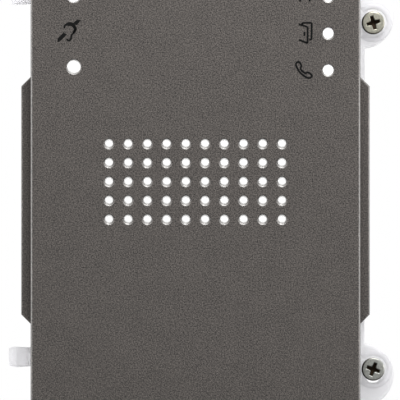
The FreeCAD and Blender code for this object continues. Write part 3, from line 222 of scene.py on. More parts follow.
def inside(points, loop):
    """Tell which points lie in a closed loop, by counting the edges that cross a ray to the right."""
    ahead = np.roll(loop, -1, 0)
    height = points[:, 1:2]
    crosses = (loop[:, 1] > height) != (ahead[:, 1] > height)
    rise = np.where(ahead[:, 1] == loop[:, 1], 1.0, ahead[:, 1] - loop[:, 1])
    place = loop[:, 0] + (height - loop[:, 1]) * (ahead[:, 0] - loop[:, 0]) / rise
    return (crosses & (points[:, :1] < place)).sum(1) % 2 == 1


def flat(shell, loops, level):
    """Fill the area between the first loop and the others, at one level."""
    spots = np.concatenate(loops)
    edges = []
    start = 0
    for loop in loops:
        index = np.arange(len(loop)) + start
        edges.append(np.stack([index, np.roll(index, -1)], 1))
        start += len(loop)
    outlines = np.concatenate(edges).tolist()
    result = delaunay_2d_cdt([Vector(spot) for spot in spots], outlines, [], 1, 1e-7)
    corners = np.array([spot[:] for spot in result[0]])
    faces = np.array(result[2])
    centres = corners[faces].mean(1)
    for loop in loops[1:]:
        outside = ~inside(centres, loop)
        faces = faces[outside]
        centres = centres[outside]
    points = np.stack([corners[:, 0], np.full(len(corners), level), corners[:, 1]], 1)
    shell.add(points, faces, smooth=False)


def block(shell, outline, profile):
    """Add a closed block: a profile carried along an outline, with a flat at each end."""
    rows = carried(outline, profile)
    shell.grid(rows)
    for row in (rows[0], rows[-1]):
        flat(shell, [row[:, ::2]], row[0, 1])


def lathed(profile, x, z, sides):
    """Turn pairs of radius and level about an axis along the depth: one ring of points for each pair."""
    radii, levels = np.array(profile, float).T[:, :, None]
    across = x + radii * np.cos(turns(sides))
    aside = z + radii * np.sin(turns(sides))
    return np.stack([across, np.broadcast_to(levels, across.shape), aside], -1)


# Wings beside the tray: their reach, the height of their ends, how far they lap into the tray's side, and
# the section of their edge as pairs of inset and height.
WING_REACH = 2.5
WING_END = 32.3
WING_LAP = 0.9
WING_EDGE = ((0, 0), (0, 1.6), (0.15, 1.85), (0.45, 2.0))

# Plate: its sides and levels from the frame, its corners, its round edge and its walls.
_, RIGHT, EAR_FRONT, FACE_FRONT, BOTTOM, TOP = extent("front_plate")
PLATE_SIDE = RIGHT - WING_REACH
PLATE_CORNER = 1.6
PLATE_EDGE = 0.75
SKIRT_WALL = 1.8
SKIRT_CORNER = 0.4

# Levels of the print's back, of the face that it is printed on, and of the membrane behind the plate.
INK = 0.02
FACE = FACE_FRONT - INK
INK_BACK = FACE - INK
INNER = extent("grille_membrane")[3]

# Holes of the plate: the bore's radius, the rim's width, and how far the bore sits above the rim's centre.
SOUND_HOLE = (1.12, 0.35, 0.15)
LIGHT_HOLE = (1.42, 0.26, 0.15)
LEFT_HOLE = (1.85, 0.2, 0.06)
HOLE_SIDES = 40

# Section of a rim, as shares of its width: outside the bore, and below the face.
RIM_SECTION = ((1.08, 0), (0.97, 0.03), (0.05, 0.68), (0, 0.85))

# Pitches of the sound holes, across and up, and of the lights, and the height of the top light.
SOUND_PITCH = (5.01, 4.93)
LIGHT_PITCH = 9.6
TOP_LIGHT = 53.1


def grille_spots():
    """Give the centres of the fifty sound holes."""
    x, z = middle("grille_membrane")
    return [(x + SOUND_PITCH[0] * (column - 4.5), z + SOUND_PITCH[1] * (row - 2))
            for column in range(10) for row in range(5)]


def light_spots():
    """Give the centres of the three status lights on the right."""
    x, _ = middle("status_light_guide")
    return [(x, TOP_LIGHT - LIGHT_PITCH * number) for number in range(3)]


def left_spots():
    """Give the centres of the light sensor's window and of the microphone's hole."""
    return [middle("light_sensor_window"), middle("microphone_membrane")]


def face_plate(material):
    """Cast tray: rounded edge, holes with rounded rims, inner walls and two wings."""
    shell = Shell()
    outline = rounded_rectangle(PLATE_SIDE, TOP, PLATE_CORNER)
    inner = rounded_rectangle(PLATE_SIDE - SKIRT_WALL, TOP - SKIRT_WALL, SKIRT_CORNER)
    skirt = list(carried(outline, round_over(PLATE_EDGE, FACE) + [(0, EAR_FRONT)]))
    skirt += list(carried(inner, [(0, EAR_FRONT), (0, INNER)]))
    shell.grid(np.stack(skirt))
    mouths = [skirt[0][:, ::2]]
    bores = [inner]
    kinds = ((grille_spots(), SOUND_HOLE), (light_spots(), LIGHT_HOLE), (left_spots(), LEFT_HOLE))
    holes = [(*spot, *kind) for spots, kind in kinds for spot in spots]
    for x, z, radius, rim, rise in holes:
        section = [(radius + share * rim, FACE - sink * rim) for share, sink in RIM_SECTION]
        mouth = lathed(section, x, z, HOLE_SIDES)
        mouth[2:, :, 2] += rise
        shell.grid(np.concatenate([mouth, lathed([(radius, INNER)], x, z + rise, HOLE_SIDES)]))
        mouths.append(circle(x, z, radius + RIM_SECTION[0][0] * rim, HOLE_SIDES))
        bores.append(circle(x, z + rise, radius, HOLE_SIDES))
    flat(shell, mouths, FACE)
    flat(shell, bores, INNER)
    for side in (-1, 1):
        wing(shell, side)
    piece = shell.finish("face_plate", material, stands_for=("front_plate",))
    # Bright metal on the lower rims and the edges stands in as a painted highlight.
    mark_painted_highlights(piece, holes)


def wing(shell, side):
    """Add a wing: a thin plate with bevelled ends beside the tray, one step below the face."""
    root = PLATE_SIDE - WING_LAP
    outline = np.array([(root, -WING_END), (PLATE_SIDE, -WING_END), (RIGHT, WING_REACH - WING_END),
                        (RIGHT, WING_END - WING_REACH), (PLATE_SIDE, WING_END), (root, WING_END)])
    if side < 0:
        outline = outline[::-1] * (-1, 1)
    block(shell, outline, [(inset, EAR_FRONT + rise) for inset, rise in WING_EDGE])


def mark_painted_highlights(piece, holes):
    """Mark where bright metal is laid on as a painted highlight: the lower side of the holes' rims, the
    tray's rounded edge, and the right wing's bevel.

    At an angle a about a hole the rim's share is -0.27 * sin(a) - 0.04 * cos(a), so the painted highlight
    lies on its lower side, as if lit from above.
    """
    tray_share = 0.14
    wing_share = 0.2
    margin = 2
    x, level, z = points_of(piece).T
    centres = np.array([(hole[0], hole[1], hole[3]) for hole in holes])
    away = np.hypot(x[:, None] - centres[:, 0], z[:, None] - centres[:, 1])
    hole_x, hole_z, rim = centres[away.argmin(1)].T
    way = np.arctan2(z - hole_z, x - hole_x)
    sink = (FACE - level) / rim
    on_rim = (np.abs(x) < PLATE_SIDE - margin) & (np.abs(z) < TOP - margin) & (sink > 0.02)
    highlight_share = np.where(on_rim & (sink < 0.8), np.clip(-0.27 * np.sin(way) - 0.04 * np.cos(way), 0, 1), 0)
    highlight_share[~on_rim & (level < FACE - 0.05) & (level > FACE - 0.5)] = tray_share
    bevel_level = EAR_FRONT + WING_EDGE[2][1]
    highlight_share[(x > PLATE_SIDE + 1) & (np.abs(level - bevel_level) < 0.1)] = wing_share
    mark_points(piece, "painted_highlight", highlight_share)


def fleece(name, outline, spots, radius, sunk, material):
    """White acoustic fleece: a sheet behind the plate, pressed up into each hole as a low pillow."""
    back, front = extent(name)[2:4]
    shell = Shell()
    rows = carried(outline, [(0.1, back), (0, back + 0.05), (0, front)])
    shell.grid(rows)
    flat(shell, [rows[0][:, ::2]], back)
    flat(shell, [outline] + [circle(x, z, radius, 24) for x, z in spots], front)
    top = FACE - sunk
    pillow = [(radius, front), (radius, top - 0.12), (radius - 0.05, top - 0.03),
              (radius * 0.8, top + 0.04), (radius * 0.4, top + 0.1), (0, top + 0.12)]
    for x, z in spots:
        shell.grid(lathed(pillow, x, z, 24))
    shell.finish(name + "_look", material, stands_for=(name,))


def fleece_sheets(material):
    """Make the sheet behind the sound holes and the disc behind the microphone's hole."""
    left, right, _, _, bottom, top = extent("grille_membrane")
    sheet = rounded_rectangle((right - left) / 2, (top - bottom) / 2, radius=1.0)
    sheet += middle("grille_membrane")
    spots = [(x, z + SOUND_HOLE[2]) for x, z in grille_spots()]
    fleece("grille_membrane", sheet, spots, radius=1.11, sunk=0.44, material=material)
    x, z = middle("microphone_membrane")
    disc = circle(x, z, radius=4.2, sides=48)
    spots = [(x, z + LEFT_HOLE[2])]
    fleece("microphone_membrane", disc, spots, radius=1.82, sunk=0.35, material=material)


# Carrier's flange: how far it reaches, its corners, the level of its back, and the bevel there.
CARRIER_LEFT = -42
CARRIER_RIGHT = 44.2
CARRIER_END = 59.5
CARRIER_CORNER = 1.2
SEAT_LEVEL = 23.0
SEAT_BEVEL = 0.2

# Carrier's ears: the centre and the radius of each, and how far their rim and the flange's are rounded.
EARS = ((43.6, 47.9, 8.2), (43.6, -45.6, 8.2))
EAR_RIM = 1.0
FLANGE_RIM = 0.45

# Slots of the two screws: the run of each from the screw's axis, their radius, and the recess behind them.
SLOT_RUNS = {"top": 2.1, "bottom": -2.1}
SLOT_RADIUS = 1.7
RECESS_RADIUS = 3.2
RECESS_FLOOR = SEAT_LEVEL + 1.0

# Carrier's nose: its half width and half height, its wall and corners, and the radii of the openings in it.
NOSE = (40.8, 57.8)
NOSE_WALL = 1.6
NOSE_CORNER = 0.5
SPEAKER_OPENING = 21.6
LIGHT_OPENING = 1.45
LEFT_OPENING = 1.8

# Heights of the two hooks.
HOOK_HEIGHTS = (53.8, -40.9)


def carrier_outline():
    """Give the carrier's outline with its two ears, and how far its rim is rounded at each point."""
    left = CARRIER_LEFT + CARRIER_CORNER
    right = CARRIER_RIGHT - CARRIER_CORNER
    end = CARRIER_END - CARRIER_CORNER
    places = ((right, -end, -90), (right, end, 0), (left, end, 90), (left, -end, 180))
    corners = [(arc(x, z, CARRIER_CORNER, turn, turn + 90, 6), FLANGE_RIM) for x, z, turn in places]
    ears = []
    for x, z, radius in reversed(EARS):
        reach = math.degrees(math.acos((CARRIER_RIGHT - x) / radius))
        ears.append((arc(x, z, radius, -reach, reach, 48), EAR_RIM))
    runs = corners[:1] + ears + corners[1:]
    rims = [np.full(len(points), rim) for points, rim in runs]
    return np.concatenate([points for points, _ in runs]), np.concatenate(rims)


def obround(x, z, run, radius, steps=16):
    """Outline of a slot that runs from z by a length, up or down."""
    low, high = min(z, z + run), max(z, z + run)
    return np.concatenate([arc(x, low, radius, 180, 360, steps), arc(x, high, radius, 0, 180, steps)])


def carrier_shell(material):
    """Frosted moulding behind the plate: flange with ears, slots and collars, hollow nose, and hooks."""
    shell = Shell()
    outline, rims = carrier_outline()
    profile = [(rims * (1 - math.sin(turn)), EAR_FRONT - rims * (1 - math.cos(turn)))
               for turn in np.linspace(0, QUARTER_TURN, 7)]
    rows = carried(outline, profile + [(0, SEAT_LEVEL + SEAT_BEVEL), (SEAT_BEVEL, SEAT_LEVEL)])
    shell.grid(rows)
    nose = rounded_rectangle(*NOSE, NOSE_CORNER)
    cavity = rounded_rectangle(NOSE[0] - NOSE_WALL, NOSE[1] - NOSE_WALL, NOSE_CORNER)
    fronts = [rows[0][:, ::2], nose]
    backs = [rows[-1][:, ::2], cavity]
    for name, run in SLOT_RUNS.items():
        x, z = middle("frame_screw_" + name)
        slot = obround(x, z, run, SLOT_RADIUS)
        recess = obround(x, z, run, RECESS_RADIUS)
        fronts.append(slot)
        backs.append(recess)
        shell.grid(carried(slot, [(0, RECESS_FLOOR), (0, EAR_FRONT)]))
        shell.grid(carried(recess, [(0, SEAT_LEVEL), (0, RECESS_FLOOR)]))
        flat(shell, [recess, slot], RECESS_FLOOR)
        collar(shell, x, z)
    flat(shell, fronts, EAR_FRONT)
    flat(shell, backs, SEAT_LEVEL)
    holes = [circle(*middle("speaker_seal"), SPEAKER_OPENING, 72)]
    holes += [circle(x, z, LIGHT_OPENING, 32) for x, z in light_spots()]
    holes += [circle(x, z, LEFT_OPENING, 32) for x, z in left_spots()]
    nose_front = extent("front_seal")[2]
    wall_rear = extent("speaker_seal")[3]
    shell.grid(carried(nose, [(0, EAR_FRONT), (0, nose_front)]))
    shell.grid(carried(cavity, [(0, SEAT_LEVEL), (0, wall_rear)]))
    for hole in holes:
        shell.grid(carried(hole, [(0, nose_front), (0, wall_rear)]))
    flat(shell, [nose] + holes, nose_front)
    flat(shell, [cavity] + holes, wall_rear)
    for z in HOOK_HEIGHTS:
        hook(shell, z)
    shell.finish("carrier_shell", material, stands_for=("carrier",))


def collar(shell, x, z):
    """Soft rim round a screw head, open towards the plate: a low round section that dies out at its ends.

    The section is pairs of radius and height. The rim reaches a number of degrees each way from the right,
    and its height fades over the last of them.
    """
    section = np.array([(3.6, 0.02), (3.8, 0.06), (4.0, 0.12), (4.2, 0.15), (4.4, 0.15), (4.6, 0.12),
                        (4.8, 0.06), (5.0, 0.02), (5.04, -0.1), (3.56, -0.1)])
    reach = 131
    fade = 16
    turn = np.radians(np.linspace(-reach, reach, 97))
    ends = np.clip((reach - np.abs(np.degrees(turn))) / fade, 0, 1)
    ends = (ends * ends * (3 - 2 * ends))[:, None]
    lift = np.where(section[:, 1] > 0, section[:, 1] * ends, section[:, 1])
    across = section[:, 0] * np.cos(turn)[:, None]
    aside = section[:, 0] * np.sin(turn)[:, None]
    points = np.stack([x + across, EAR_FRONT + lift, z + aside], -1)
    shell.grid(points)
    for row in (points[0], points[-1]):
        shell.add(row, [list(range(len(row)))], smooth=False)


def hook(shell, middle_z):
    """Hook of the left edge: a tongue with bowed sides, and a lip bent back round its tip.

    Its half width at x is 2.375 + 0.325 * (1 - ((x + 45.4) / 3.4) ** 2), and never under 2.375. The ends
    are pairs of a share of that width and an inset of the section.
    """
    ends = ((-1, 0.35), (-0.96, 0.12), (-0.86, 0.0), (0.86, 0.0), (0.96, 0.12), (1, 0.35))
    bend = arc(-47.1, 24.3, 1.7, 90, 180, 10)
    lip = [(-48.8, 21.2), (-48.6, 21.0), (-47.1, 21.0), (-46.9, 21.2), (-46.9, 23.7), (-46.6, 24.0)]
    tongue = [(-41.0, 24.0), (-41.0, 26.0), (-46.5, 26.0), (-46.65, 26.13), (-46.95, 26.13)]
    section = np.concatenate([bend, lip, tongue])
    outward = mitres(section)
    rows = []
    for share, inset in ends:
        spots = section - inset * outward
        width = 2.375 + 0.325 * np.clip(1 - ((spots[:, 0] + 45.4) / 3.4) ** 2, 0, 1)
        rows.append(np.stack([spots[:, 0], spots[:, 1], middle_z + share * width], 1))
    shell.grid(np.stack(rows))
    for row in (rows[0], rows[-1]):
        shell.fan(row, row.mean(0))


def cross_depth(x, z, turn):
    """Give the depth of a screw's cross recess at places about its axis, for a head 6 mm wide.

    With a the larger distance from the cross's two centre lines, the arms are 1.98 long, and their half
    width is 0.78 - 0.1 * a, with 0.25 * (0.8 - a) more near the middle. Their lips bend down for 0.2 mm,
    and then the walls drop to a floor at 1.56 - 0.4 * a.
    """
    across = np.abs(x * math.cos(turn) + z * math.sin(turn))
    along = np.abs(z * math.cos(turn) - x * math.sin(turn))
    far = np.maximum(across, along)
    near = np.minimum(across, along)
    room = np.minimum(0.78 - 0.1 * far + 0.25 * np.clip(0.8 - far, 0, 1) - near, 1.98 - far)
    return 4 * np.clip(room, 0, 0.2) ** 2 + (1.4 - 0.4 * far) * np.clip((room - 0.2) / 0.12, 0, 1)


def frame_screw(name, turn, material):
    """Captive screw: flat head with round edges and a tapered cross recess, waisted neck, and a cut thread.

    The head's top lies at head_front - crown * (r / brink) ** 2 less the recess, and the thread's radius is
    1.27 + 0.23 * ridge(turn - level / pitch), with ridge a triangle wave.
    """
    head_radius = 3.0
    rim = 0.45
    brink = head_radius - rim
    crown = 0.12
    neck_radius = 1.24
    neck_end = 22.85
    thread_start = 22.8
    pitch = 0.5
    taper_length = 0.6
    sides = 256
    shank_sides = 40
    screw = "frame_screw_" + name
    x, z = middle(screw)
    tip, head_front = extent(screw)[2:4]
    shell = Shell()
    radii = np.concatenate([np.linspace(POLE, 2.0, 72), np.linspace(2.1, brink, 5)])
    radius, angle = np.meshgrid(radii, turns(sides), indexing="ij")
    across = radius * np.cos(angle)
    aside = radius * np.sin(angle)
    level = head_front - crown * (radius / brink) ** 2 - cross_depth(across, aside, turn)
    top = np.stack([x + across, level, z + aside], -1)
    brim = [(brink + rim * math.sin(t), head_front - crown - rim * (1 - math.cos(t)))
            for t in np.linspace(0, QUARTER_TURN, 8)[1:]]
    under = [(head_radius, EAR_FRONT + 0.08), (head_radius - 0.05, EAR_FRONT), (1.25, EAR_FRONT)]
    head = np.concatenate([top, lathed(brim + under, x, z, sides)])
    shell.grid(head)
    shell.fan(head[0], (x, head[0][:, 1].mean(), z), smooth=True)
    shell.fan(head[-1], (x, EAR_FRONT, z))
    neck = lathed([(neck_radius, EAR_FRONT + 0.1), (neck_radius, neck_end)], x, z, shank_sides)
    shell.fan(neck[0], (x, EAR_FRONT + 0.1, z))
    shares = np.linspace(0, 1, shank_sides, endpoint=False)
    level, place = np.meshgrid(np.linspace(thread_start, tip, 180), shares, indexing="ij")
    ridge = np.abs(((place - level / pitch) % 1) * 2 - 1)
    taper = np.clip((level - tip) / taper_length, 0.0, 1.0)
    thread = 1.27 - 0.25 * (1 - taper) + 0.23 * ridge * taper
    across = thread * np.cos(FULL_TURN * place)
    aside = thread * np.sin(FULL_TURN * place)
    spots = np.stack([x + across, level, z + aside], -1)
    shell.grid(np.concatenate([neck, spots]))
    shell.fan(spots[-1], (x, tip, z))
    piece = shell.finish("frame_screw_look_" + name, material, body=screw, stands_for=(screw,))
    across, rise, aside = (points_of(piece) - (x, EAR_FRONT, z)).T
    # Painted shade: dark deep in the cross recess, and along the brim's edge most at its lower left, away
    # from the lights.
    recess_shade = np.clip((cross_depth(across, aside, turn) - 0.2) / 0.5, 0, 1) * (rise > 0)
    edge = np.clip((np.hypot(across, aside) - 2.6) / 0.2, 0, 1)
    edge *= np.clip(0.6 - 0.2 * across - 0.14 * aside, 0.1, 1)
    mark_points(piece, "recess", np.maximum(recess_shade, edge))


def turned_head(shell, x, z, radius, levels, depth, rim=0.2, crown=0.08, shank=None):
    """Add a round part that faces the back, with a recess in its end, and a thinner shank if one is given.

    The levels are those of its end, of its seat and of its tip. At r from its axis the end lies at
    back + crown * (r / radius) ** 2 + depth.
    """
    back, seat, tip = levels
    sides = 96
    spread, angle = np.meshgrid(np.linspace(POLE, radius - rim, 40), turns(sides), indexing="ij")
    across = spread * np.cos(angle)
    aside = spread * np.sin(angle)
    level = back + crown * (spread / radius) ** 2 + depth(across, aside)
    end = np.stack([x + across, level, z + aside], -1)
    edge = back + crown * (1 - rim / radius) ** 2
    brim = [(radius - rim + rim * math.sin(t), edge + rim * (1 - math.cos(t)))
            for t in np.linspace(0, QUARTER_TURN, 6)[1:]]
    inner = shank or radius
    wall = [(radius, seat), (inner, seat), (inner, tip - TIP_BEVEL), (inner - TIP_BEVEL, tip)]
    rows = np.concatenate([end, lathed(brim + wall, x, z, sides)])
    shell.grid(rows)
    shell.fan(rows[0], (x, rows[0][:, 1].mean(), z), smooth=True)
    shell.fan(rows[-1], (x, tip, z))


def plain_depth(across, _aside):
    """Give the depth of an end with no recess."""
    return np.zeros_like(across)


def slot_depth(_across, aside):
    """Give the depth of a straight driver slot, 0.7 mm wide and 0.9 mm deep."""
    return 0.9 * np.clip((0.35 - np.abs(aside)) / 0.08, 0, 1)


def pointer_depth(across, aside):
    """Give the depth of a trimmer's cross slot, whose upper arm runs on to the rim as a pointer.

    The cross is 2.5 mm across with arms 0.64 mm wide. The pointer is 0.4 mm wide, and all is 0.9 mm deep.
    """
    near = np.minimum(np.abs(across), np.abs(aside))
    far = np.maximum(np.abs(across), np.abs(aside))
    arms = np.minimum(0.32 - near, 1.25 - far)
    pointer = np.minimum(0.2 - np.abs(across), np.minimum(aside, 1.75 - aside))
    return 0.9 * np.clip(np.maximum(arms, pointer) / 0.08, 0, 1)


def pan_depth(across, aside):
    """Give the depth of a housing screw's cross recess, shallower than a frame screw's and turned."""
    return 0.7 * cross_depth(across, aside, 0.4)


def turned_piece(name, depth, material, rim=0.2, crown=0.08):
    """Make a screw, rotor or button cap that faces the back, in the place and with the size of its node."""
    left, right, back, front, _, _ = extent(name)
    radius = (right - left) / 2
    x, z = middle(name)
    shell = Shell()
    turned_head(shell, x, z, radius, (back, front - TIP_BEVEL, front), depth, rim, crown)
    body = name.removesuffix("_rotor").removesuffix("_cap")
    piece = shell.finish(name + "_look", material, body=body, stands_for=(name,))
    across, _, aside = (points_of(piece) - (x, back, z)).T
    # Painted shade: the recess is darkened more the deeper it is.
    recess = depth(across, aside) * (np.hypot(across, aside) < radius - rim)
    mark_points(piece, "recess", np.clip(recess / 0.6, 0, 1))


def housing_screws(material):
    """Four pan head screws with cross recesses, at the bottom of the cover's wells."""
    left, right, back, tip, bottom, top = extent("housing_screws")
    radius = 2.4
    height = 1.5
    levels = (back, back + height, tip)
    shell = Shell()
    for x in (left + radius, right - radius):
        for z in (bottom + radius, top - radius):
            turned_head(shell, x, z, radius, levels, pan_depth, rim=0.5, crown=0.25, shank=1.25)
    shell.finish("housing_screws_look", material, stands_for=("housing_screws",))


def socket_pins(material):
    """Eight square gold pins with pointed tips in the line socket."""
    pitch = 2.54
    half = 0.35
    back = extent("line_socket")[2]
    square = half * np.array([(-1, -1), (1, -1), (1, 1), (-1, 1)])
    profile = [(0, back + 7.1), (0, back + 1.9), (0.2, back + 1.45)]
    shell = Shell()
    for column in range(4):
        for row in range(2):
            place = pitch * np.array([column - 1.5, row - 0.5])
            rings = carried(square + middle("line_socket") + place, profile)
            shell.grid(rings, smooth=False)
            for end in (rings[0], rings[-1]):
                shell.add(end, [[0, 1, 2, 3]], smooth=False)
    shell.finish("line_pins", material)


def smooth_line(points, steps=6):
    """Run a curve through points: between two of them, a cubic with the slopes of their neighbours."""
    padded = np.concatenate([[2 * points[0] - points[1]], points, [2 * points[-1] - points[-2]]])
    share = np.linspace(0, 1, steps, endpoint=False)[:, None]
    runs = [0.5 * (2 * b + (c - a) * share + (2 * a - 5 * b + 4 * c - d) * share ** 2
                   + (3 * b - a - 3 * c + d) * share ** 3)
            for a, b, c, d in zip(padded, padded[1:], padded[2:], padded[3:])]
    return np.concatenate(runs + [points[-1:]])


def stroke(shell, line, width=0.5):
    """Print a line of even width on the face."""
    step = np.gradient(line, axis=0)
    length = np.linalg.norm(step, axis=1, keepdims=True)
    aside = np.stack([-step[:, 1], step[:, 0]], 1) / length * width / 2
    rings = []
    for way, level in ((1, INK_BACK), (1, FACE_FRONT), (-1, FACE_FRONT), (-1, INK_BACK)):
        spots = line + way * aside
        rings.append(np.stack([spots[:, 0], np.full(len(line), level), spots[:, 1]], 1))
    band = np.stack(rings, 1)
    shell.grid(band, smooth=False)
    for end in (band[0], band[-1]):
        shell.add(end, [[0, 1, 2, 3]], smooth=False)


def patch(shell, corners):
    """Print a filled shape on the face."""
    ahead = np.roll(corners, -1, 0)
    area = (corners[:, 0] * ahead[:, 1] - corners[:, 1] * ahead[:, 0]).sum()
    block(shell, corners if area > 0 else corners[::-1], [(0, INK_BACK), (0, FACE_FRONT)])


# Black marks: two feet, an open door, a handset and the hearing aid sign. Each has straight lines, curves
# and filled shapes, through places counted in the photograph's pixels.
MARKS = {
    "feet_mark": {
        "lines": [[(300.1, -6), (300.1, 1.6)], [(309.6, -6), (309.6, 1.6)]],
    },
    "door_mark": {
        "lines": [[(302.2, 24.6), (302.2, 22.9), (311.7, 22.9), (311.5, 39.6), (309.2, 39.6)],
                  [(298.8, 24.2), (307.6, 27), (307.6, 43.2), (298.8, 39.8)],
                  [(304.4, 31.8), (304.4, 36)]],
    },
    "handset_mark": {
        "curves": [[(297.1, 67.9), (296, 64.9), (296.5, 62.9), (298.9, 61.8), (300.3, 63.4), (301.4, 66),
                    (300.7, 67.6), (301, 69.6), (302.9, 71.7), (305.4, 73.2), (307.6, 72.4), (309.8, 73.3),
                    (311.9, 75.8), (310.4, 77.7), (308.4, 78), (306.4, 77.3), (302.8, 75), (299.2, 71.5),
                    (297.1, 67.9)]],
    },
    "hearing_mark": {
        "curves": [[(64.3, 28.3), (64.7, 26), (67.3, 23.7), (70.7, 23), (73.3, 24.3), (75.7, 27.7),
                    (75.7, 30), (74, 32.7), (71.7, 34.7), (71.3, 37), (70.6, 39.4), (68.7, 40.5),
                    (66.5, 39.3)],
                   [(67.4, 25.8), (70.4, 24.8), (72.8, 26.2), (74.5, 28.6), (74.3, 30.4), (73, 32.6)]],
        "shapes": [[(57.6, 38.6), (63.6, 32.4), (66.8, 34.6), (60.4, 41), (57.4, 42.4)],
                   [(73.3, 22.9), (76.8, 20), (81, 20), (77.2, 24.8), (75.7, 25)]],
    },
}


def pictograms(material):
    """Print the black marks beside the lights and the holes."""
    for name, mark in MARKS.items():
        runs = {kind: [np.array([photo_point(*place) for place in run]) for run in mark.get(kind, [])]
                for kind in ("lines", "curves", "shapes")}
        shell = Shell()
        for points in runs["lines"]:
            for start, end in zip(points, points[1:]):
                stroke(shell, np.stack([start, end]))
        for points in runs["curves"]:
            stroke(shell, smooth_line(points))
        for corners in runs["shapes"]:
            patch(shell, corners)
        shell.finish(name, material)


def link(tree, start, end):
    """Join two sockets of a node tree."""
    tree.links.new(start, end)


def node(tree, kind, **inputs):
    """Add a shader node and set its plain inputs by name."""
    made = tree.nodes.new(kind)
    for name, value in inputs.items():
        made.inputs[name.replace("_", " ")].default_value = value
    return made


def maths(tree, operation, *inputs):
    """Add a maths node and give its result. Each input is a socket to link or a plain number."""
    made = tree.nodes.new("ShaderNodeMath")
    made.operation = operation
    for socket, value in zip(made.inputs, inputs):
        if isinstance(value, float):
            socket.default_value = value
        else:
            link(tree, value, socket)
    return made.outputs[0]


def grain_group():
    """Make the shared grain: a colour that two noises lighten and darken, and a bumped normal.

    The colour is scaled by 1 + Fine * (fine noise - 0.5) + Broad * (broad noise - 0.5).
    """
    tree = bpy.data.node_groups.new("surface_grain", "ShaderNodeTree")
    tree.interface.new_socket("Colour", in_out="INPUT", socket_type="NodeSocketColor")
    for name in ("Scale", "Fine", "Broad", "Depth"):
        tree.interface.new_socket(name, in_out="INPUT", socket_type="NodeSocketFloat")
    for name, kind in (("Colour", "NodeSocketColor"), ("Normal", "NodeSocketVector")):
        tree.interface.new_socket(name, in_out="OUTPUT", socket_type=kind)
    into = tree.nodes.new("NodeGroupInput")
    out = tree.nodes.new("NodeGroupOutput")
    place = tree.nodes.new("ShaderNodeTexCoord")
    fine = node(tree, "ShaderNodeTexNoise", Detail=2.0, Roughness=0.6)
    broad = node(tree, "ShaderNodeTexNoise", Scale=180.0, Detail=2.0)
    link(tree, into.outputs["Scale"], fine.inputs["Scale"])
    shade = 1.0
    for noise, amount in ((fine, "Fine"), (broad, "Broad")):
        link(tree, place.outputs["Object"], noise.inputs["Vector"])
        centred = maths(tree, "SUBTRACT", noise.outputs[0], 0.5)
        shade = maths(tree, "MULTIPLY_ADD", centred, into.outputs[amount], shade)
    tinted = tree.nodes.new("ShaderNodeVectorMath")
    tinted.operation = "SCALE"
    link(tree, into.outputs["Colour"], tinted.inputs[0])
    link(tree, shade, tinted.inputs["Scale"])
    bump = node(tree, "ShaderNodeBump", Distance=0.0001)
    link(tree, fine.outputs[0], bump.inputs["Height"])
    link(tree, into.outputs["Depth"], bump.inputs["Strength"])
    link(tree, tinted.outputs["Vector"], out.inputs["Colour"])
    link(tree, bump.outputs["Normal"], out.inputs["Normal"])
    return tree


def overlay_group():
    """Make the shared overlay of painted highlight and painted shade: one colour over another, by a share
    from 0 to 1.
    """
    tree = bpy.data.node_groups.new("painted_light_overlay", "ShaderNodeTree")
    for name in ("Under", "Over"):
        tree.interface.new_socket(name, in_out="INPUT", socket_type="NodeSocketColor")
    tree.interface.new_socket("Share", in_out="INPUT", socket_type="NodeSocketFloat")
    tree.interface.new_socket("Colour", in_out="OUTPUT", socket_type="NodeSocketColor")
    into = tree.nodes.new("NodeGroupInput")
    out = tree.nodes.new("NodeGroupOutput")
    mix = tree.nodes.new("ShaderNodeMix")
    mix.data_type = "RGBA"
    link(tree, into.outputs["Share"], mix.inputs["Factor"])
    link(tree, into.outputs["Under"], mix.inputs["A"])
    link(tree, into.outputs["Over"], mix.inputs["B"])
    link(tree, mix.outputs["Result"], out.inputs["Colour"])
    return tree


GRAIN = grain_group()
OVERLAY = overlay_group()


def finish_of(name, colour, metal=0.0, rough=0.5, scale=3000.0, fine=0.2, depth=0.1, broad=0.1, **more):
    """Make a material: a colour with its grain, and the rest set on the surface itself."""
    material = bpy.data.materials.new(name)
    material.use_nodes = True
    tree = material.node_tree
    surface = tree.nodes["Principled BSDF"]
    grain = tree.nodes.new("ShaderNodeGroup")
    grain.name = "grain"
    grain.node_tree = GRAIN
    amounts = {"Colour": (*colour, 1.0), "Scale": scale, "Fine": fine, "Broad": broad, "Depth": depth}
    for socket, value in amounts.items():
        grain.inputs[socket].default_value = value
    link(tree, grain.outputs["Colour"], surface.inputs["Base Color"])
    link(tree, grain.outputs["Normal"], surface.inputs["Normal"])
    surface.inputs["Metallic"].default_value = metal
    surface.inputs["Roughness"].default_value = rough
    for socket, value in more.items():
        surface.inputs[socket.replace("_", " ")].default_value = value
    return material


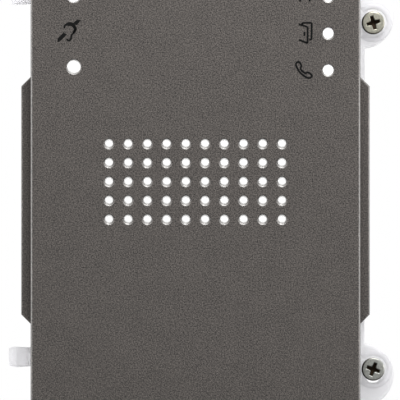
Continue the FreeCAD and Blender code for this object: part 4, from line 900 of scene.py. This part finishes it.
# Finishes of the frame's own nodes: colour, metal, roughness, grain scale, colour spread and grain depth.
FINISHES = {
    "cover_plastic": ((0.48, 0.48, 0.47), 0.0, 0.6, 2500.0, 0.05, 0.25),
    "sealing_foam": ((0.02, 0.02, 0.022), 0.0, 0.9, 4000.0, 0.3, 0.4),
    "boot_rubber": ((0.015, 0.015, 0.015), 0.0, 0.7, 3000.0, 0.1, 0.1),
    "screw_steel": ((0.55, 0.55, 0.54), 1.0, 0.35, 2500.0, 0.08, 0.1),
    "washer_plastic": ((0.8, 0.8, 0.76), 0.0, 0.45, 1500.0, 0.03, 0.03),
    "basket_steel": ((0.4, 0.4, 0.4), 1.0, 0.45, 1800.0, 0.08, 0.08),
    "pole_steel": ((0.45, 0.45, 0.42), 1.0, 0.4, 2000.0, 0.08, 0.08),
    "ferrite": ((0.03, 0.03, 0.032), 0.0, 0.6, 5000.0, 0.35, 0.3),
    "cone_paper": ((0.02, 0.02, 0.02), 0.0, 0.85, 2500.0, 0.3, 0.4),
    "surround_rubber": ((0.015, 0.015, 0.015), 0.0, 0.6, 1500.0, 0.1, 0.05),
    "damper_cloth": ((0.5, 0.33, 0.1), 0.0, 0.8, 3500.0, 0.2, 0.5),
    "coil_copper": ((0.75, 0.33, 0.14), 1.0, 0.35, 6000.0, 0.2, 0.4),
    "board_laminate": ((0.02, 0.14, 0.06), 0.0, 0.35, 900.0, 0.25, 0.05),
    "chip_plastic": ((0.02, 0.02, 0.02), 0.0, 0.45, 3000.0, 0.15, 0.1),
    "capacitor_sleeve": ((0.03, 0.035, 0.06), 0.0, 0.3, 1200.0, 0.1, 0.03),
    "transformer_tape": ((0.75, 0.55, 0.08), 0.0, 0.4, 1500.0, 0.12, 0.05),
    "lamp_resin": ((0.85, 0.8, 0.45), 0.0, 0.3, 1500.0, 0.05, 0.03),
    "contact_metal": ((0.75, 0.68, 0.45), 1.0, 0.3, 2500.0, 0.08, 0.06),
    "capsule_metal": ((0.6, 0.6, 0.6), 1.0, 0.3, 2500.0, 0.06, 0.06),
    "terminal_plastic": ((0.03, 0.3, 0.1), 0.0, 0.4, 1800.0, 0.06, 0.06),
    "socket_plastic": ((0.03, 0.03, 0.033), 0.0, 0.45, 2500.0, 0.12, 0.1),
    "trimmer_plastic": ((0.04, 0.12, 0.4), 0.0, 0.4, 1800.0, 0.06, 0.06),
    "rotor_plastic": ((0.75, 0.74, 0.7), 0.0, 0.4, 1800.0, 0.04, 0.05),
    "button_plastic": ((0.7, 0.7, 0.68), 0.0, 0.45, 1800.0, 0.04, 0.05),
}


def dress_frame():
    """Give each node of the frame the finish that its slot in the record asks for, where that slot is one
    of the finishes made here.
    """
    finishes = {slot: finish_of(slot, *values) for slot, values in FINISHES.items()}
    # The opal plastic gets a faint glow of its own, painted light that keeps the lights white in their
    # holes.
    finishes["opal_plastic"] = finish_of(
        "opal_plastic", (0.95, 0.95, 0.94), rough=0.3, scale=1500.0, fine=0.02, depth=0.03,
        Emission_Color=(1, 1, 0.99, 1), Emission_Strength=0.3)
    for row in frame["record"]["subparts"]:
        slot = row["material_slot"]
        if slot in finishes:
            mesh = frame["nodes"][row["node"]].data
            mesh.materials.clear()
            mesh.materials.append(finishes[slot])
    return finishes


def lay_over(material, attribute, colour):
    """Lay a colour over a material's grain where a piece's own attribute says, and give that attribute."""
    tree = material.node_tree
    share = tree.nodes.new("ShaderNodeAttribute")
    share.attribute_name = attribute
    overlay = tree.nodes.new("ShaderNodeGroup")
    overlay.node_tree = OVERLAY
    overlay.inputs["Over"].default_value = (*colour, 1)
    link(tree, share.outputs["Fac"], overlay.inputs["Share"])
    link(tree, tree.nodes["grain"].outputs["Colour"], overlay.inputs["Under"])
    link(tree, overlay.outputs["Colour"], tree.nodes["Principled BSDF"].inputs["Base Color"])
    return share.outputs["Fac"]


def plate_paint():
    """Warm grey coat with a fine sand grain, and bright metal laid on as a painted highlight where the
    plate's own attribute says.
    """
    material = finish_of("plate_paint", (0.077, 0.068, 0.062), rough=0.36, scale=3000.0, fine=5.2,
                         depth=1.0, broad=0.3)
    # Painted highlight: bright metal on the holes' lower rims and on the edges, by the plate's attribute.
    painted_highlight = lay_over(material, "painted_highlight", (0.8, 0.79, 0.77))
    link(material.node_tree, painted_highlight, material.node_tree.nodes["Principled BSDF"].inputs["Metallic"])
    return material


def membrane_fleece():
    """White fleece with a faint glow of its own, painted light that keeps it white deep in the holes."""
    return finish_of("membrane_fleece", (0.96, 0.96, 0.955), rough=0.9, scale=5000.0, fine=0.06,
                     depth=0.15, broad=0.02, Emission_Color=(1, 0.995, 0.98, 1), Emission_Strength=0.3)


def frosted_plastic():
    """Milky plastic that light passes through without a clear view, with a faint glow of its own as painted
    light that lifts its shaded parts.
    """
    return finish_of("frosted_plastic", (0.72, 0.715, 0.735), rough=0.6, scale=2500.0, fine=0.05,
                     depth=0.06, broad=0.03, Transmission_Weight=0.6, Emission_Color=(1, 1, 1, 1),
                     Emission_Strength=0.13)


def black_print():
    """Matt black ink."""
    return finish_of("black_print", (0.004, 0.004, 0.004), rough=0.7, scale=3500.0, fine=0.8, depth=0.1,
                     Specular_IOR_Level=0.12)


def screw_plating(name, colour):
    """Dull plating with a coarse grain, and dark painted shade where a piece's recess attribute says."""
    material = finish_of(name, colour, metal=1.0, rough=0.42, scale=2300.0, fine=0.9, depth=0.35,
                         broad=0.3)
    lay_over(material, "recess", (0.02, 0.014, 0.009))
    return material


def camera():
    """Long lens straight in front of the face, on the photograph's centre."""
    distance = 2.0
    sensor = 36
    lens = bpy.data.cameras.new("camera")
    lens.sensor_width = sensor
    lens.lens = sensor * distance / (PHOTO_PIXELS / PIXELS_PER_MM * MM)
    lens.clip_start = 0.1
    lens.clip_end = 20
    seen = bpy.data.objects.new("camera", lens)
    x, z = photo_point(PHOTO_PIXELS / 2, PHOTO_PIXELS / 2)
    seen.location = (x * MM, -distance - FACE_FRONT * MM, z * MM)
    seen.rotation_euler = (QUARTER_TURN, 0, 0)
    bpy.context.scene.collection.objects.link(seen)
    bpy.context.scene.camera = seen


def white_world():
    """White surroundings: full white to the camera and through clear plastic, greyer in gloss and light."""
    as_light = 0.42
    more_in_gloss = 0.33
    world = bpy.data.worlds.new("white_room")
    bpy.context.scene.world = world
    world.use_nodes = True
    tree = world.node_tree
    tree.nodes.clear()
    path = tree.nodes.new("ShaderNodeLightPath")
    seen = maths(tree, "MAXIMUM", path.outputs["Is Camera Ray"], path.outputs["Is Transmission Ray"])
    shiny = maths(tree, "MULTIPLY_ADD", path.outputs["Is Glossy Ray"], more_in_gloss, as_light)
    light = node(tree, "ShaderNodeBackground", Color=(1, 1, 1, 1))
    out = tree.nodes.new("ShaderNodeOutputWorld")
    link(tree, maths(tree, "MAXIMUM", seen, shiny), light.inputs["Strength"])
    link(tree, light.outputs[0], out.inputs["Surface"])


def area_light(name, place, target, width, power):
    """Square soft light at a place, turned to a target. Power is in watts."""
    data = bpy.data.lights.new(name, "AREA")
    data.size = width
    data.energy = power
    lamp = bpy.data.objects.new(name, data)
    lamp.location = place
    lamp.rotation_euler = (Vector(target) - Vector(place)).to_track_quat("-Z", "Y").to_euler()
    bpy.context.scene.collection.objects.link(lamp)


def pale_floor():
    """Matt floor that fades to nothing far out, and that isn't seen from below."""
    material = bpy.data.materials.new("pale_floor")
    material.use_nodes = True
    tree = material.node_tree
    tree.nodes.clear()
    path = tree.nodes.new("ShaderNodeLightPath")
    shade = node(tree, "ShaderNodeMapRange", To_Min=0.3, To_Max=0.85)
    link(tree, path.outputs["Is Camera Ray"], shade.inputs["Value"])
    matt = tree.nodes.new("ShaderNodeBsdfDiffuse")
    link(tree, shade.outputs["Result"], matt.inputs["Color"])
    place = tree.nodes.new("ShaderNodeTexCoord")
    distance = tree.nodes.new("ShaderNodeVectorMath")
    distance.operation = "LENGTH"
    link(tree, place.outputs["Object"], distance.inputs[0])
    fade = node(tree, "ShaderNodeMapRange", From_Min=0.09, From_Max=0.24)
    fade.interpolation_type = "SMOOTHSTEP"
    link(tree, distance.outputs["Value"], fade.inputs["Value"])
    side = tree.nodes.new("ShaderNodeNewGeometry")
    below = maths(tree, "MULTIPLY", side.outputs["Backfacing"], path.outputs["Is Camera Ray"])
    gone = maths(tree, "MAXIMUM", fade.outputs["Result"], below)
    clear = tree.nodes.new("ShaderNodeBsdfTransparent")
    mix = tree.nodes.new("ShaderNodeMixShader")
    out = tree.nodes.new("ShaderNodeOutputMaterial")
    link(tree, gone, mix.inputs["Fac"])
    link(tree, matt.outputs[0], mix.inputs[1])
    link(tree, clear.outputs[0], mix.inputs[2])
    link(tree, mix.outputs[0], out.inputs["Surface"])
    return material


def floor_disc(material):
    """Round floor under the module, with its faces up. Its radii are in metres."""
    sides = 128
    gap = 0.3
    radii = np.array([0.0001, 0.05, 0.1, 0.15, 0.2, 0.25])[:, None]
    height = (BOTTOM - gap) * MM
    rings = np.stack([radii * np.cos(turns(sides)), radii * np.sin(turns(sides)),
                      np.full((len(radii), sides), height)], -1)
    mesh = bpy.data.meshes.new("floor")
    mesh.from_pydata(rings.reshape(-1, 3).tolist(), [], ring_quads(len(radii), sides)[:, ::-1].tolist())
    mesh.materials.append(material)
    floor = bpy.data.objects.new("floor", mesh)
    bpy.context.scene.collection.objects.link(floor)


# Pieces that show from the front
face_plate(plate_paint())
fleece_sheets(membrane_fleece())
carrier_shell(frosted_plastic())
frame_screw("top", math.radians(15), screw_plating("olive_zinc", (0.4, 0.39, 0.325)))
frame_screw("bottom", math.radians(-20), screw_plating("bright_zinc", (0.34, 0.345, 0.32)))
pictograms(black_print())

# Finishes of the frame's own nodes, and the pieces that show from the back
finishes = dress_frame()
steel = screw_plating("worn_steel", (0.55, 0.55, 0.54))
housing_screws(steel)
for number in range(1, 5):
    turned_piece(f"terminal_screw_{number}", slot_depth, steel)
# Painted shade: the rotors' slots are darkened by their depth.
lay_over(finishes["rotor_plastic"], "recess", (0.12, 0.115, 0.1))
for name in ("speaker_trimmer_rotor", "microphone_trimmer_rotor"):
    turned_piece(name, pointer_depth, finishes["rotor_plastic"])
turned_piece("setup_button_cap", plain_depth, finishes["button_plastic"], rim=0.35,
             crown=0.15)
socket_pins(finishes["contact_metal"])

# Camera, white room, soft lights and floor
camera()
white_world()
area_light("key_light", (0.08, -0.22, 0.42), (0, -0.03, 0.03), 0.3, 3.2)
area_light("back_light", (0.15, 0.5, 0.4), (0, 0, 0), 0.4, 1.8)
area_light("right_light", (0.7, -0.1, 0.05), (0, -0.03, 0), 0.3, 2.8)
area_light("left_light", (-0.7, -0.1, 0.05), (0, -0.03, 0), 0.3, 2.8)
floor_disc(pale_floor())
bpy.context.scene.view_settings.view_transform = "Standard"
